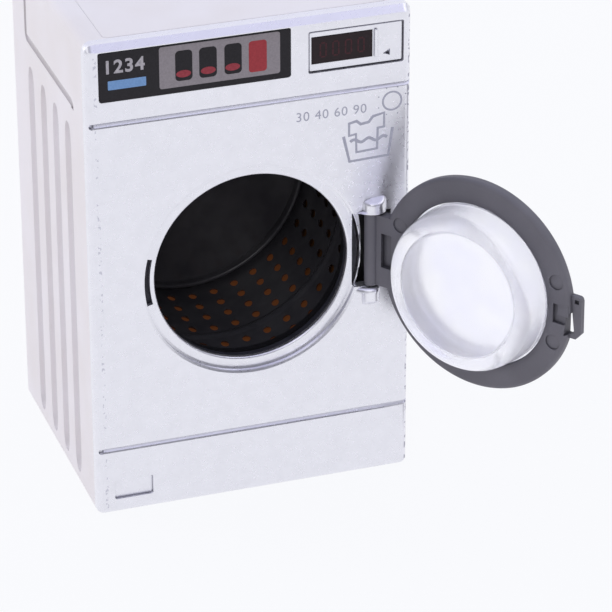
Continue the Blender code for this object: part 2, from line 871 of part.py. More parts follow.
def display_pocket():
    left, right, foot, top = display_outline(SEAT_GAP)
    floor = FRONT_Y + DISPLAY_FRAME_DEPTH + LABEL_THICKNESS - LABEL_PROUD + SEAT_GAP
    return box("display_pocket", cutters, (left, FRONT_Y, foot), (right, floor, top))


def filter_recess():
    left = -SIDE_X + FILTER_LEFT
    outline = rounded_outline(
        left,
        left + FILTER_WIDTH,
        FILTER_FOOT,
        FILTER_FOOT + FILTER_HEIGHT,
        FILTER_CORNER_RADIUS,
        FILTER_CORNER_RADIUS,
    )
    return outline_plate("filter_recess", cutters, [outline], FRONT_Y - CUT_OVERRUN, FRONT_Y + FILTER_DEPTH)


def front_panel():
    item = panel_blank()
    join(item, top_lip())
    upper_z = CABINET_HEIGHT - UPPER_GROOVE_DROP - UPPER_GROOVE_HEIGHT
    cut(item, cross_groove("upper_groove", upper_z, UPPER_GROOVE_HEIGHT))
    cut(item, cross_groove("lower_groove", LOWER_GROOVE_FOOT, LOWER_GROOVE_HEIGHT))
    cut(item, *recess_cutters())
    cut(item, latch_slot(), hinge_window())
    cut(item, label_pockets(), display_frame_box(), display_pocket(), filter_recess())
    lower, upper = lug_feet()
    join(item, lug("lower_lug", lower), lug("upper_lug", upper))
    cut(item, pin_bores())
    join(item, collar())
    boss_rear = PANEL_BACK_Y + SEAT_GAP + GASKET_DEPTH
    for number, (centre_x, centre_z, _) in enumerate(ear_places()):
        boss = disc_along_y(
            "boss_%d" % number,
            cutters,
            EAR_RADIUS,
            centre_x,
            centre_z,
            PANEL_BACK_Y - JOIN_OVERLAP,
            boss_rear,
            SMALL_STEPS,
        )
        join(item, boss)
    for number, (centre_x, centre_z, _) in enumerate(ear_places()):
        bore = disc_along_y(
            "boss_bore_%d" % number,
            cutters,
            SCREW_HOLE_RADIUS,
            centre_x,
            centre_z,
            PANEL_BACK_Y,
            boss_rear + CUT_OVERRUN,
            SCREW_STEPS,
        )
        cut(item, bore)
    return item


def control_label():
    left = -SIDE_X + LABEL_LEFT
    top = CABINET_HEIGHT - LABEL_DROP
    outline = rounded_outline(
        left,
        left + LABEL_WIDTH,
        top - LABEL_HEIGHT,
        top,
        LABEL_CORNER_RADIUS,
        LABEL_CORNER_RADIUS,
    )
    front = FRONT_Y - LABEL_PROUD
    return outline_plate("control_label", parts, [outline], front, front + LABEL_THICKNESS, label_film())


def display_label():
    left, right, foot, top = display_outline(0.0)
    front = FRONT_Y + DISPLAY_FRAME_DEPTH - LABEL_PROUD
    return box(
        "display_label",
        parts,
        (left, front, foot),
        (right, front + LABEL_THICKNESS, top),
        display_film(),
    )


def door_gasket():
    front = PANEL_BACK_Y + SEAT_GAP
    rear = front + GASKET_DEPTH
    outer = COLLAR_INNER_RADIUS - SEAT_GAP
    profile = [(outer, rear), (outer, front), (GASKET_INNER_RADIUS, front), (GASKET_INNER_RADIUS, rear)]
    item = turned("door_gasket", parts, profile, LARGE_STEPS, dark_rubber())
    item.location = (DOOR_CENTRE_X, 0.0, DOOR_CENTRE_Z)
    return item


def hinge_pin():
    foot, top = pin_ends()
    return smooth(
        disc_along_z("hinge_pin", parts, PIN_RADIUS, HINGE_X, HINGE_Y, foot, top, SCREW_STEPS, steel())
    )


def tub_ear(number, centre_x, centre_z, angle):
    # A round ear and the web that ties it to the tub wall
    rear = TUB_FRONT_Y + TUB_FLANGE
    pad = disc_along_y(
        "ear_%d" % number,
        cutters,
        EAR_RADIUS,
        centre_x,
        centre_z,
        TUB_FRONT_Y,
        rear,
        SMALL_STEPS,
    )
    web = box(
        "ear_web_%d" % number,
        cutters,
        (TUB_INNER_RADIUS - TUB_WALL, TUB_FRONT_Y, -EAR_RADIUS),
        (TUB_OUTER_RADIUS + EAR_STANDOFF, rear, EAR_RADIUS),
    )
    web.rotation_euler = (0.0, -angle, 0.0)
    web.location = (DOOR_CENTRE_X, 0.0, DOOR_CENTRE_Z)
    return web, pad


def tub():
    mouth = GASKET_INNER_RADIUS + TUB_MOUTH_STEP
    flange_rear = TUB_FRONT_Y + TUB_FLANGE
    profile = [
        (TUB_OUTER_RADIUS, TUB_BACK_Y),
        (TUB_OUTER_RADIUS, TUB_FRONT_Y),
        (mouth, TUB_FRONT_Y),
        (mouth, flange_rear),
        (TUB_INNER_RADIUS, flange_rear),
        (TUB_INNER_RADIUS, TUB_FLOOR_Y),
        (BUSH_BORE_RADIUS, TUB_FLOOR_Y),
        (BUSH_BORE_RADIUS, TUB_BACK_Y),
    ]
    item = turned("tub", parts, profile, LARGE_STEPS, amber_abs())
    item.location = (DOOR_CENTRE_X, 0.0, DOOR_CENTRE_Z)
    for number, (centre_x, centre_z, angle) in enumerate(ear_places()):
        join(item, *tub_ear(number, centre_x, centre_z, angle))
    for number, (centre_x, centre_z, _) in enumerate(ear_places()):
        bore = disc_along_y(
            "ear_bore_%d" % number,
            cutters,
            SCREW_HOLE_RADIUS,
            centre_x,
            centre_z,
            TUB_FRONT_Y - CUT_OVERRUN,
            flange_rear + CUT_OVERRUN,
            SCREW_STEPS,
        )
        cut(item, bore)
    return item


def screw_cross(name, head_y):
    # Two crossing bars that cut the drive recess into the head's rear face
    long = SCREW_CROSS_LENGTH / 2
    wide = SCREW_CROSS_WIDTH / 2
    floor = head_y - SCREW_CROSS_DEPTH
    rim = head_y + CUT_OVERRUN
    level = box(name + "_level_bar", cutters, (-long, floor, -wide), (long, rim, wide))
    upright_bar = box(name + "_upright_bar", cutters, (-wide, floor, -long), (wide, rim, long))
    return level, upright_bar


def screw(name, centre_x, centre_z, head_y, length):
    # A pan-head screw driven from behind; head_y is the outer face of its head
    seat = head_y - SCREW_HEAD_HEIGHT
    profile = [
        (0.0, head_y),
        (SCREW_HEAD_RADIUS - SCREW_HEAD_HEIGHT / 2, head_y),
        (SCREW_HEAD_RADIUS, head_y - SCREW_HEAD_HEIGHT / 2),
        (SCREW_HEAD_RADIUS, seat),
        (SCREW_RADIUS, seat),
        (SCREW_RADIUS, seat - length + SCREW_RADIUS),
        (0.0, seat - length),
    ]
    item = turned(name, parts, profile, SCREW_STEPS, steel())
    item.location = (centre_x, 0.0, centre_z)
    for bar in screw_cross(name, head_y):
        bar.location = (centre_x, 0.0, centre_z)
        cut(item, bar)
    return item


def tub_screws():
    head_y = TUB_FRONT_Y + TUB_FLANGE + SEAT_GAP + SCREW_HEAD_HEIGHT
    for number, (centre_x, centre_z, _) in enumerate(ear_places()):
        screw("tub_screw_%d" % (number + 1), centre_x, centre_z, head_y, TUB_SCREW_LENGTH)


def rear_cover():
    outline = rounded_outline(
        -INNER_X + SEAT_GAP,
        INNER_X - SEAT_GAP,
        CABINET_WALL + SEAT_GAP,
        CABINET_HEIGHT - CABINET_WALL - SEAT_GAP,
        COVER_CORNER_RADIUS,
        COVER_CORNER_RADIUS,
    )
    item = outline_plate("rear_cover", parts, [outline], COVER_INNER_Y, COVER_OUTER_Y, white_abs())
    for place, (centre_x, centre_z) in post_places().items():
        hole = disc_along_y(
            "cover_hole_" + place,
            cutters,
            SCREW_HOLE_RADIUS,
            centre_x,
            centre_z,
            COVER_INNER_Y - CUT_OVERRUN,
            COVER_OUTER_Y,
            SCREW_STEPS,
        )
        counterbore = disc_along_y(
            "cover_counterbore_" + place,
            cutters,
            SCREW_HEAD_RADIUS + SEAT_GAP,
            centre_x,
            centre_z,
            COVER_OUTER_Y - COUNTERBORE_DEPTH,
            COVER_OUTER_Y + CUT_OVERRUN,
            SMALL_STEPS,
        )
        cut(item, hole, counterbore)
    return item


def rear_screws():
    head_y = COVER_OUTER_Y - COUNTERBORE_DEPTH + SEAT_GAP + SCREW_HEAD_HEIGHT
    for place, (centre_x, centre_z) in post_places().items():
        screw("rear_screw_" + place, centre_x, centre_z, head_y, COVER_SCREW_LENGTH)


def axle_bush():
    rear = TUB_BACK_Y + BUSH_PROUD
    flange_rear = BUSH_FRONT_Y + BUSH_FLANGE_THICKNESS
    profile = [
        (BUSH_RADIUS, rear),
        (BUSH_RADIUS, flange_rear),
        (BUSH_FLANGE_RADIUS, flange_rear),
        (BUSH_FLANGE_RADIUS, BUSH_FRONT_Y),
        (AXLE_BORE_RADIUS, BUSH_FRONT_Y),
        (AXLE_BORE_RADIUS, rear),
    ]
    item = turned("axle_bush", parts, profile, SMALL_STEPS, grey_abs())
    item.location = (DOOR_CENTRE_X, 0.0, DOOR_CENTRE_Z)
    return item


def empty_on_axis(name, location, angle=0.0):
    axis = bpy.data.objects.new(name, None)
    parts.objects.link(axis)
    axis.location = location
    axis.rotation_euler = (0.0, 0.0, angle)
    return axis


def drum_holes(axis):
    # Every hole is a short four-sided bar that points at the axis
    work = bmesh.new()
    length = DRUM_REAR_Y - DRUM_FRONT_Y
    middle = (DRUM_INNER_RADIUS + DRUM_OUTER_RADIUS) / 2
    lie_down = Matrix.Rotation(math.pi / 2, 4, "Y")
    for share in HOLE_ROW_SHARES:
        for column in range(HOLE_COLUMNS):
            angle = math.pi / 2 - HOLE_PHASE - 2 * math.pi * column / HOLE_COLUMNS
            spin = Matrix.Rotation(angle, 4, "Z")
            along = Matrix.Translation((middle, 0.0, DRUM_FRONT_Y + share * length))
            bmesh.ops.create_cone(
                work,
                cap_ends=True,
                segments=HOLE_SIDES,
                radius1=HOLE_RADIUS,
                radius2=HOLE_RADIUS,
                depth=DRUM_WALL * 3,
                matrix=spin @ along @ lie_down,
            )
    item = link_mesh("drum_holes", finish_bmesh("drum_holes", work), cutters)
    item.rotation_euler = (-math.pi / 2, 0.0, 0.0)
    item.parent = axis
    return item


def drum_shell(axis):
    profile = [
        (DRUM_OUTER_RADIUS, DRUM_REAR_Y),
        (DRUM_OUTER_RADIUS, DRUM_FRONT_Y),
        (DRUM_INNER_RADIUS, DRUM_FRONT_Y),
        (DRUM_INNER_RADIUS, DRUM_REAR_Y),
    ]
    start_angle = math.pi / HOLE_COLUMNS - HOLE_PHASE
    item = turned("drum_shell", parts, profile, HOLE_COLUMNS, black_abs(), start_angle)
    item.parent = axis
    cut(item, drum_holes(axis))
    return item


def drum_back(axis):
    ridge_outer = DRUM_INNER_RADIUS - SEAT_GAP
    ridge_inner = ridge_outer - RIDGE_WALL
    profile = [
        (DRUM_OUTER_RADIUS, DRUM_BACK_Y),
        (DRUM_OUTER_RADIUS, DRUM_FLOOR_Y),
        (ridge_outer, DRUM_FLOOR_Y),
        (ridge_outer, DRUM_FLOOR_Y - RIDGE_HEIGHT),
        (ridge_inner, DRUM_FLOOR_Y - RIDGE_HEIGHT),
        (ridge_inner, DRUM_FLOOR_Y),
        (AXLE_BORE_RADIUS, DRUM_FLOOR_Y),
        (AXLE_BORE_RADIUS, DRUM_BACK_Y),
    ]
    item = turned("drum_back", parts, profile, HOLE_COLUMNS, black_abs())
    item.parent = axis
    return item


def drum_axle(axis):
    head_rear = DRUM_FLOOR_Y - SEAT_GAP
    head_front = head_rear - AXLE_HEAD_HEIGHT
    rear = COVER_INNER_Y - AXLE_END_SPACE
    profile = [
        (0.0, rear),
        (AXLE_RADIUS, rear),
        (AXLE_RADIUS, head_rear),
        (AXLE_HEAD_RADIUS, head_rear),
        (AXLE_HEAD_RADIUS, head_front + AXLE_HEAD_HEIGHT / 2),
        (AXLE_HEAD_RADIUS - AXLE_HEAD_HEIGHT / 2, head_front),
        (0.0, head_front),
    ]
    item = turned("drum_axle", parts, profile, SMALL_STEPS, steel())
    item.parent = axis
    return item


def axle_retainer(axis):
    front = TUB_BACK_Y + BUSH_PROUD + SEAT_GAP
    rear = front + RETAINER_THICKNESS
    profile = [
        (RETAINER_RADIUS, rear),
        (RETAINER_RADIUS, front),
        (AXLE_BORE_RADIUS, front),
        (AXLE_BORE_RADIUS, rear),
    ]
    item = turned("axle_retainer", parts, profile, SMALL_STEPS, steel())
    item.parent = axis
    return item


def door_ring_profile():
    # From the inner face's hole edge round the outside; the axis distance grows into the machine
    inner_face = DOOR_SET_IN
    outer_face = inner_face - DOOR_THICKNESS
    rounding = DOOR_EDGE_ROUNDING
    corner = DOOR_RADIUS - rounding
    profile = arc((corner, inner_face - rounding), rounding, math.pi / 2, 0.0, DOOR_EDGE_STEPS)
    profile += arc((corner, outer_face + rounding), rounding, 0.0, -math.pi / 2, DOOR_EDGE_STEPS)
    profile += [
        (DOOR_HOLE_RADIUS + DOOR_COUNTERBORE, outer_face),
        (DOOR_HOLE_RADIUS + DOOR_COUNTERBORE, inner_face - DOOR_LEDGE),
        (DOOR_HOLE_RADIUS, inner_face - DOOR_LEDGE),
        (DOOR_HOLE_RADIUS, inner_face),
    ]
    return profile


def hang_on_door(axis, *items):
    for item in items:
        item.parent = axis
    return items


def door_arm():
    foot = BARREL_FOOT + ARM_END_GAP
    top = BARREL_FOOT + BARREL_LENGTH - ARM_END_GAP
    return box(
        "door_arm",
        cutters,
        (-HINGE_REACH - ARM_ROOT, DOOR_SET_IN - ARM_THICKNESS, foot),
        (0.0, DOOR_SET_IN, top),
    )


def door_barrel():
    foot = BARREL_FOOT
    return disc_along_z(
        "door_barrel", cutters, BARREL_RADIUS, 0.0, 0.0, foot, foot + BARREL_LENGTH, SMALL_STEPS
    )


def barrel_bore():
    return disc_along_z(
        "barrel_bore",
        cutters,
        PIN_BORE_RADIUS,
        0.0,
        0.0,
        BARREL_FOOT - CUT_OVERRUN,
        BARREL_FOOT + BARREL_LENGTH + CUT_OVERRUN,
        SCREW_STEPS,
    )


def face_pocket(name, left, width, foot, height):
    return box(
        name,
        cutters,
        (left, DOOR_SET_IN - POCKET_DEPTH, foot),
        (left + width, DOOR_SET_IN + CUT_OVERRUN, foot + height),
    )


def pull_tab():
    # The tab stands over the panel's face when the door is shut
    edge = DOOR_CENTRE_FROM_HINGE - DOOR_RADIUS
    rear = -HINGE_SETBACK - SEAT_GAP
    tab = box(
        "pull_tab",
        cutters,
        (edge - TAB_REACH, rear - TAB_THICKNESS, -TAB_HEIGHT / 2),
        (edge + TAB_ROOT, rear, TAB_HEIGHT / 2),
    )
    slot_left = edge - TAB_SLOT_REACH - TAB_SLOT_WIDTH
    slot_foot = -TAB_HEIGHT / 2 + TAB_SLOT_FOOT
    slot = box(
        "tab_slot",
        cutters,
        (slot_left, rear - TAB_THICKNESS - CUT_OVERRUN, slot_foot),
        (slot_left + TAB_SLOT_WIDTH, rear + CUT_OVERRUN, slot_foot + TAB_SLOT_HEIGHT),
    )
    return tab, slot


def door_frame(axis):
    item = turned("door_frame", parts, door_ring_profile(), LARGE_STEPS, grey_abs())
    item.location = (DOOR_CENTRE_FROM_HINGE, 0.0, 0.0)
    hang_on_door(axis, item)
    arm = door_arm()
    barrel = door_barrel()
    bore = barrel_bore()
    tab, slot = pull_tab()
    arm_pocket = face_pocket(
        "arm_pocket", -ARM_POCKET_LEFT, ARM_POCKET_WIDTH, ARM_POCKET_FOOT, ARM_POCKET_HEIGHT
    )
    catch_left = DOOR_CENTRE_FROM_HINGE - DOOR_RADIUS + CATCH_POCKET_INSET
    catch_pocket = face_pocket(
        "catch_pocket", catch_left, CATCH_POCKET_WIDTH, CATCH_POCKET_FOOT, CATCH_POCKET_HEIGHT
    )
    hang_on_door(axis, arm, barrel, bore, tab, slot, arm_pocket, catch_pocket)
    join(item, arm, barrel, tab)
    cut(item, bore, slot, arm_pocket, catch_pocket)
    return item


def window_profile():
    inner_face = DOOR_SET_IN
    end = inner_face + CUP_DEPTH
    end_radius = CUP_RADIUS - CUP_DRAFT
    corner = (end_radius - CUP_CORNER_RADIUS, end - CUP_CORNER_RADIUS)
    flange_front = inner_face - DOOR_LEDGE - SEAT_GAP
    flange_rear = flange_front - CUP_FLANGE_THICKNESS
    flange_radius = DOOR_HOLE_RADIUS + DOOR_COUNTERBORE - SEAT_GAP
    hollow_radius = CUP_RADIUS - CUP_WALL
    hollow_end = end - CUP_END_WALL
    profile = [(0.0, end)]
    profile += arc(corner, CUP_CORNER_RADIUS, math.pi / 2, 0.0, CUP_CORNER_STEPS)
    profile += [
        (CUP_RADIUS, inner_face),
        (CUP_RADIUS, flange_front),
        (flange_radius, flange_front),
        (flange_radius, flange_rear),
        (hollow_radius + CUP_DRAFT, flange_rear),
        (hollow_radius, hollow_end),
        (0.0, hollow_end),
    ]
    return profile


def door_window(axis):
    item = turned("door_window", parts, window_profile(), LARGE_STEPS, clear_styrene())
    item.location = (DOOR_CENTRE_FROM_HINGE, 0.0, 0.0)
    hang_on_door(axis, item)
    return item


CUTTER_GROUP = "cutters"
clear_scene()
parts = new_collection("toy washing machine")
cutters = new_collection(CUTTER_GROUP)

cabinet_shell()
top_cover()
front_panel()
control_label()
display_label()
door_gasket()
hinge_pin()
tub()
tub_screws()
rear_cover()
rear_screws()
axle_bush()

drum_axis = empty_on_axis("drum_axis", (DOOR_CENTRE_X, 0.0, DOOR_CENTRE_Z))
drum_shell(drum_axis)
drum_back(drum_axis)
drum_axle(drum_axis)
axle_retainer(drum_axis)

hinge_axis = empty_on_axis("hinge_axis", (HINGE_X, HINGE_Y, DOOR_CENTRE_Z), DOOR_REST_ANGLE)
door_frame(hinge_axis)
door_window(hinge_axis)
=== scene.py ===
# Toy washing machine: the looks of every piece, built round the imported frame.
# Lengths are in millimetres on the frame's own axes; the studio's and camera's are in metres.

import json
import math

import bmesh
import bpy
from mathutils import Matrix, Vector


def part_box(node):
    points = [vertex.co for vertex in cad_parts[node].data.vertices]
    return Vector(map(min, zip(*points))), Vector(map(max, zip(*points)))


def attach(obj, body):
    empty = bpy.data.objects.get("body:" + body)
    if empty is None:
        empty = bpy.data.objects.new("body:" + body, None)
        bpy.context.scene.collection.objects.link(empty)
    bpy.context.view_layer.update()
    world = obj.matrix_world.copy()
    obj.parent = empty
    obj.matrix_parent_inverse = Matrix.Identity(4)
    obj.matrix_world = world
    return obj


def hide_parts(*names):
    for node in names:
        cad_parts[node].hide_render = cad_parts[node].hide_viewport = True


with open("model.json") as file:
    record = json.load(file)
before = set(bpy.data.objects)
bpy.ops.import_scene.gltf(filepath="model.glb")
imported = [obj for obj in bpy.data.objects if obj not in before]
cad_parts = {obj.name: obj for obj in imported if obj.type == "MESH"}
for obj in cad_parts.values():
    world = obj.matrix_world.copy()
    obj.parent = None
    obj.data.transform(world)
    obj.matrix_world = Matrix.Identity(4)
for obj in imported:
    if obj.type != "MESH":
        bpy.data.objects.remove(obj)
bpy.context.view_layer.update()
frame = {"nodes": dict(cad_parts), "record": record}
mm = 0.001
past = 1.0  # how far a cutting tool reaches past what it cuts
air = 0.3  # between neighbouring pieces


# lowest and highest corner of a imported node, in millimetres
def nodeBox(node):
    low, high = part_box(node)
    return Vector(low) / mm, Vector(high) / mm


bodyHigh = nodeBox("cabinet_shell")[1]
drumBackHigh = nodeBox("drum_back")[1]
labelLow, labelHigh = nodeBox("control_label")
screenLow, screenHigh = nodeBox("display_label")
lidLow, lidHigh = nodeBox("top_cover")
gasketLow, gasketHigh = nodeBox("door_gasket")
drumLow, drumHigh = nodeBox("drum_shell")
axleLow, axleHigh = nodeBox("drum_axle")
coverLow, coverHigh = nodeBox("rear_cover")
pinLow, pinHigh = nodeBox("hinge_pin")

joints = {joint["name"]: joint for joint in frame["record"]["behaviour"]["joints"]}
hinge = Vector(joints["door_hinge"]["pos_m"]) / mm
restAngle = -math.radians(joints["door_hinge"]["range_deg"][0])
door = Vector(joints["drum_spin"]["pos_m"]) / mm  # middle of the opening, and of the shut door

sideX, backY, topZ = bodyHigh
frontY = labelLow.y + 0.05  # the label stands this little proud
panelBackY = frontY + 2.0


# sRGB hex text to the linear colour that a shader wants
def hexColour(text):
    channels = [int(text[at : at + 2], 16) / 255 for at in (1, 3, 5)]
    linear = [c / 12.92 if c <= 0.04045 else ((c + 0.055) / 1.055) ** 2.4 for c in channels]
    return (*linear, 1.0)


# adds one node, sets its fields or sockets, links its inputs, and gives back its outputs
def addNode(tree, kind, settings=None, links=None):
    node = tree.nodes.new("ShaderNode" + kind)
    for key, value in (settings or {}).items():
        if key == "stops":
            ramp = node.color_ramp
            while len(ramp.elements) < len(value):
                ramp.elements.new(0.5)
            for element, (place, colour) in zip(ramp.elements, value):
                element.position = place
                element.color = hexColour(colour)
        elif isinstance(key, str) and hasattr(node, key):
            setattr(node, key, value)
        else:
            node.inputs[key].default_value = value
    for key, source in (links or {}).items():
        tree.links.new(source, node.inputs[key])
    return node.outputs


# painted shade: corners and recesses, as ambient occlusion finds them, turn darker than open faces,
# all over the piece
def cornerShadeMask(tree, place, reach, strength, local=True, clear=0.85):
    settings = {"samples": 16, "only_local": local, "Distance": reach * mm}
    openness = addNode(tree, "AmbientOcclusion", settings)["AO"]
    settings = {"From Min": clear - 0.55, "From Max": clear, "To Min": strength, "To Max": 0.0}
    return addNode(tree, "MapRange", settings, {"Value": openness})["Result"]


# painted shade: everything in front of one level plane turns dark
def frontShadeMask(tree, place, limit):
    depth = addNode(tree, "SeparateXYZ", {}, {"Vector": place})["Y"]
    return addNode(tree, "Math", {"operation": "LESS_THAN", 1: limit * mm}, {0: depth})["Value"]


# small darker dots in a narrow upright strip: painted shade along a rounded edge, with some wear
def edgeShadeAndWearMask(tree, place, middle, half, size, share):
    across = addNode(tree, "SeparateXYZ", {}, {"Vector": place})["X"]
    settings = {"Scale": 1.0 / (size * mm), "Detail": 1.0}
    spots = addNode(tree, "TexNoise", settings, {"Vector": place})["Fac"]
    settings = {"From Min": share, "From Max": share + 0.05}
    darkDots = addNode(tree, "MapRange", settings, {"Value": spots})["Result"]
    settings = {"operation": "COMPARE", 1: middle * mm, 2: half * mm}
    inside = addNode(tree, "Math", settings, {0: across})["Value"]
    return addNode(tree, "Math", {"operation": "MULTIPLY"}, {0: inside, 1: darkDots})["Value"]


# painted glow: emission that stands in for light through thin plastic, strongest low down, behind
# the front that is painted dark
def paintedGlowColour(tree, place, colour, limit, low, high):
    parts = addNode(tree, "SeparateXYZ", {}, {"Vector": place})
    settings = {"From Min": low * mm, "From Max": high * mm, "To Min": 1.0, "To Max": 0.0}
    near = addNode(tree, "MapRange", settings, {"Value": parts["Z"]})["Result"]
    settings = {"operation": "GREATER_THAN", 1: limit * mm}
    behind = addNode(tree, "Math", settings, {0: parts["Y"]})["Value"]
    share = addNode(tree, "Math", {"operation": "MULTIPLY"}, {0: near, 1: behind})["Value"]
    settings = {"data_type": "RGBA", 6: (0.0, 0.0, 0.0, 1.0), 7: hexColour(colour)}
    return addNode(tree, "Mix", settings, {0: share})[2]


masks = {"crevice": cornerShadeMask, "coat": frontShadeMask, "wear": edgeShadeAndWearMask}


# one finish: slow shade changes, fine grain in the gloss and in the relief
def makeFinish(name, finish):
    material = bpy.data.materials.new(name)
    material.use_nodes = True
    tree = material.node_tree
    shader = tree.nodes["Principled BSDF"]
    for key, value in finish["shader"].items():
        shader.inputs[key].default_value = value
    place = addNode(tree, "TexCoord")["Object"]
    noise = {}
    for part in ("shade", "grain"):
        size, detail = finish[part]
        settings = {"Scale": 1.0 / (size * mm), "Detail": detail}
        noise[part] = addNode(tree, "TexNoise", settings, {"Vector": place})["Fac"]
    dark, light = finish["tones"]
    settings = {"stops": [(0.35, dark), (0.65, light)]}
    tone = addNode(tree, "ValToRGB", settings, {"Fac": noise["shade"]})["Color"]
    # masks lay painted shade, and some wear, over the tone
    for maskName, colour, *amounts in finish.get("over", ()):
        mask = masks[maskName](tree, place, *amounts)
        settings = {"data_type": "RGBA", 7: hexColour(colour)}
        tone = addNode(tree, "Mix", settings, {0: mask, 6: tone})[2]
    dull, bright = finish["roughness"]
    settings = {"From Min": 0.3, "From Max": 0.7, "To Min": dull, "To Max": bright}
    spread = addNode(tree, "MapRange", settings, {"Value": noise["grain"]})["Result"]
    strength, depth = finish["relief"]
    settings = {"Strength": strength, "Distance": depth * mm}
    relief = addNode(tree, "Bump", settings, {"Height": noise["grain"]})["Normal"]
    wires = {"Base Color": tone, "Roughness": spread, "Normal": relief}
    # painted glow, through the emission colour
    if "paintedGlow" in finish:
        wires["Emission Color"] = paintedGlowColour(tree, place, *finish["paintedGlow"])
    for key, source in wires.items():
        tree.links.new(source, shader.inputs[key])
    return material


finishes = {
    # white ABS, injection moulded: satin, clouded a little where it cooled unevenly; painted shade
    # darkens its corners and flutes
    "mouldedWhiteAbs": {
        "shader": {"IOR": 1.53},
        "tones": ("#F1EDEF", "#F5F2F6"),
        "shade": (14.0, 2.0),
        "grain": (0.35, 3.0),
        "roughness": (0.34, 0.44),
        "relief": (0.12, 0.03),
        "over": (("crevice", "#7E7678", 3.0, 0.8, True, 0.98),),
    },
    # bright metal film on ABS, which keeps the orange peel of its base coat; painted shade darkens
    # its corners, and painted shade with some wear runs in dots along its two side edges
    "platedSilverAbs": {
        "shader": {"Metallic": 0.86, "IOR": 1.5},
        "tones": ("#ECECF3", "#EFEFF6"),
        "shade": (2.2, 2.0),
        "grain": (0.55, 1.0),
        "roughness": (0.27, 0.33),
        "relief": (0.05, 0.02),
        "over": (
            ("crevice", "#30303E", 0.4, 0.8),
            ("wear", "#CFCFDA", -28.2, 0.3, 0.6, 0.6),
            ("wear", "#A4A4B2", 29.6, 0.2, 0.9, 0.54),
        ),
    },
    # grey ABS from a spark-eroded mould: matt, with fine grit; painted shade darkens its corners
    # and pockets
    "sparkedGreyAbs": {
        "shader": {"IOR": 1.53},
        "tones": ("#65646C", "#6C6B73"),
        "shade": (9.0, 2.0),
        "grain": (0.3, 3.0),
        "roughness": (0.46, 0.62),
        "relief": (0.2, 0.04),
        "over": (("crevice", "#2C2C33", 3.5, 0.75, False),),
    },
    # black ABS, moulded half glossy, so that lamps draw soft bands on it
    "glossBlackAbs": {
        "shader": {"IOR": 1.53},
        "tones": ("#48474D", "#545358"),
        "shade": (5.0, 2.0),
        "grain": (0.8, 2.0),
        "roughness": (0.18, 0.26),
        "relief": (0.03, 0.02),
    },
    # amber ABS of the tub, moulded; its front is painted near-black as shade, and a painted glow in
    # its emission stands in for light through the plastic
    "amberAbs": {
        "shader": {"IOR": 1.53, "Emission Strength": 0.1},
        "paintedGlow": ("#B0663C", -15.0, 25.0, 31.0),
        "tones": ("#6E451F", "#7A4E26"),
        "shade": (6.0, 2.0),
        "grain": (0.4, 2.0),
        "roughness": (0.4, 0.55),
        "relief": (0.1, 0.03),
        "over": (("coat", "#1A1A1E", -15.0),),
    },
    # dark rubber, pressed: matt and slightly dusty
    "dustyRubber": {
        "shader": {"IOR": 1.5},
        "tones": ("#2C2C34", "#3A3A44"),
        "shade": (3.0, 3.0),
        "grain": (0.4, 3.0),
        "roughness": (0.5, 0.7),
        "relief": (0.15, 0.03),
    },
    # clear styrene, moulded and polished, with a slow ripple where the melt flowed; a faint white
    # emission on it is a painted glow
    "clearStyrene": {
        "shader": {
            "IOR": 1.45,
            "Transmission Weight": 0.86,
            "Emission Color": hexColour("#F2F2FF"),
            "Emission Strength": 0.06,
        },
        "tones": ("#F6F6FF", "#FCFCFF"),
        "shade": (6.0, 1.0),
        "grain": (5.0, 1.0),
        "roughness": (0.2, 0.26),
        "relief": (0.01, 0.02),
    },
    # zinc-plated steel, turned: bright, with fine marks round it
    "platedSteel": {
        "shader": {"Metallic": 1.0},
        "tones": ("#B5AFA8", "#C9C4BE"),
        "shade": (0.6, 2.0),
        "grain": (0.15, 2.0),
        "roughness": (0.25, 0.4),
        "relief": (0.1, 0.01),
    },
}

# screen print on film and on plating: even colour with a faint ink tooth
inks = {
    "charcoalInk": ("#1F1D22", "#252328"),
    "warmGreyInk": ("#8A858A", "#938E93"),
    "blackKeyInk": ("#1C1A1F", "#232126"),
    "signalRedInk": ("#96343B", "#A23A41"),
    "dullRedInk": ("#8C343E", "#9C3E49"),
    "skyBlueInk": ("#7098C8", "#7BA2D2"),
    "paleInk": ("#A8A6AC", "#B8B6BC"),
    "wineBlackInk": ("#21171B", "#281C20"),
    "dimRedInk": ("#3E1D23", "#48222A"),
    "slateInk": ("#AAACBB", "#B4B6C5"),
}
for inkName, inkTones in inks.items():
    finishes[inkName] = {
        "shader": {"IOR": 1.48, "Specular IOR Level": 0.25},
        "tones": inkTones,
        "shade": (0.35, 3.0),
        "grain": (0.35, 3.0),
        "roughness": (0.34, 0.46),
        "relief": (0.08, 0.02),
    }
look = {name: makeFinish(name, finish) for name, finish in finishes.items()}
print("finishes ready")


# turns every face outwards
def faceOut(bm):
    bmesh.ops.recalc_face_normals(bm, faces=bm.faces)
    if bm.calc_volume(signed=True) < 0:
        bmesh.ops.reverse_faces(bm, faces=bm.faces)
    return bm


def toMesh(name, bm):
    mesh = bpy.data.meshes.new(name)
    bm.to_mesh(mesh)
    bm.free()
    return mesh


def placeObject(name, data):
    holder = bpy.data.objects.new(name, data)
    bpy.context.scene.collection.objects.link(holder)
    return holder


def makeShape(name, bm):
    return placeObject(name, toMesh(name, faceOut(bm)))


# what its modifiers, or its curve, make of an object
def finalMesh(holder):
    bpy.context.view_layer.update()
    graph = bpy.context.evaluated_depsgraph_get()
    return bpy.data.meshes.new_from_object(holder.evaluated_get(graph))


def bake(shape):
    mesh, oldMesh = finalMesh(shape), shape.data
    shape.modifiers.clear()
    shape.data = mesh
    bpy.data.meshes.remove(oldMesh)
    return shape


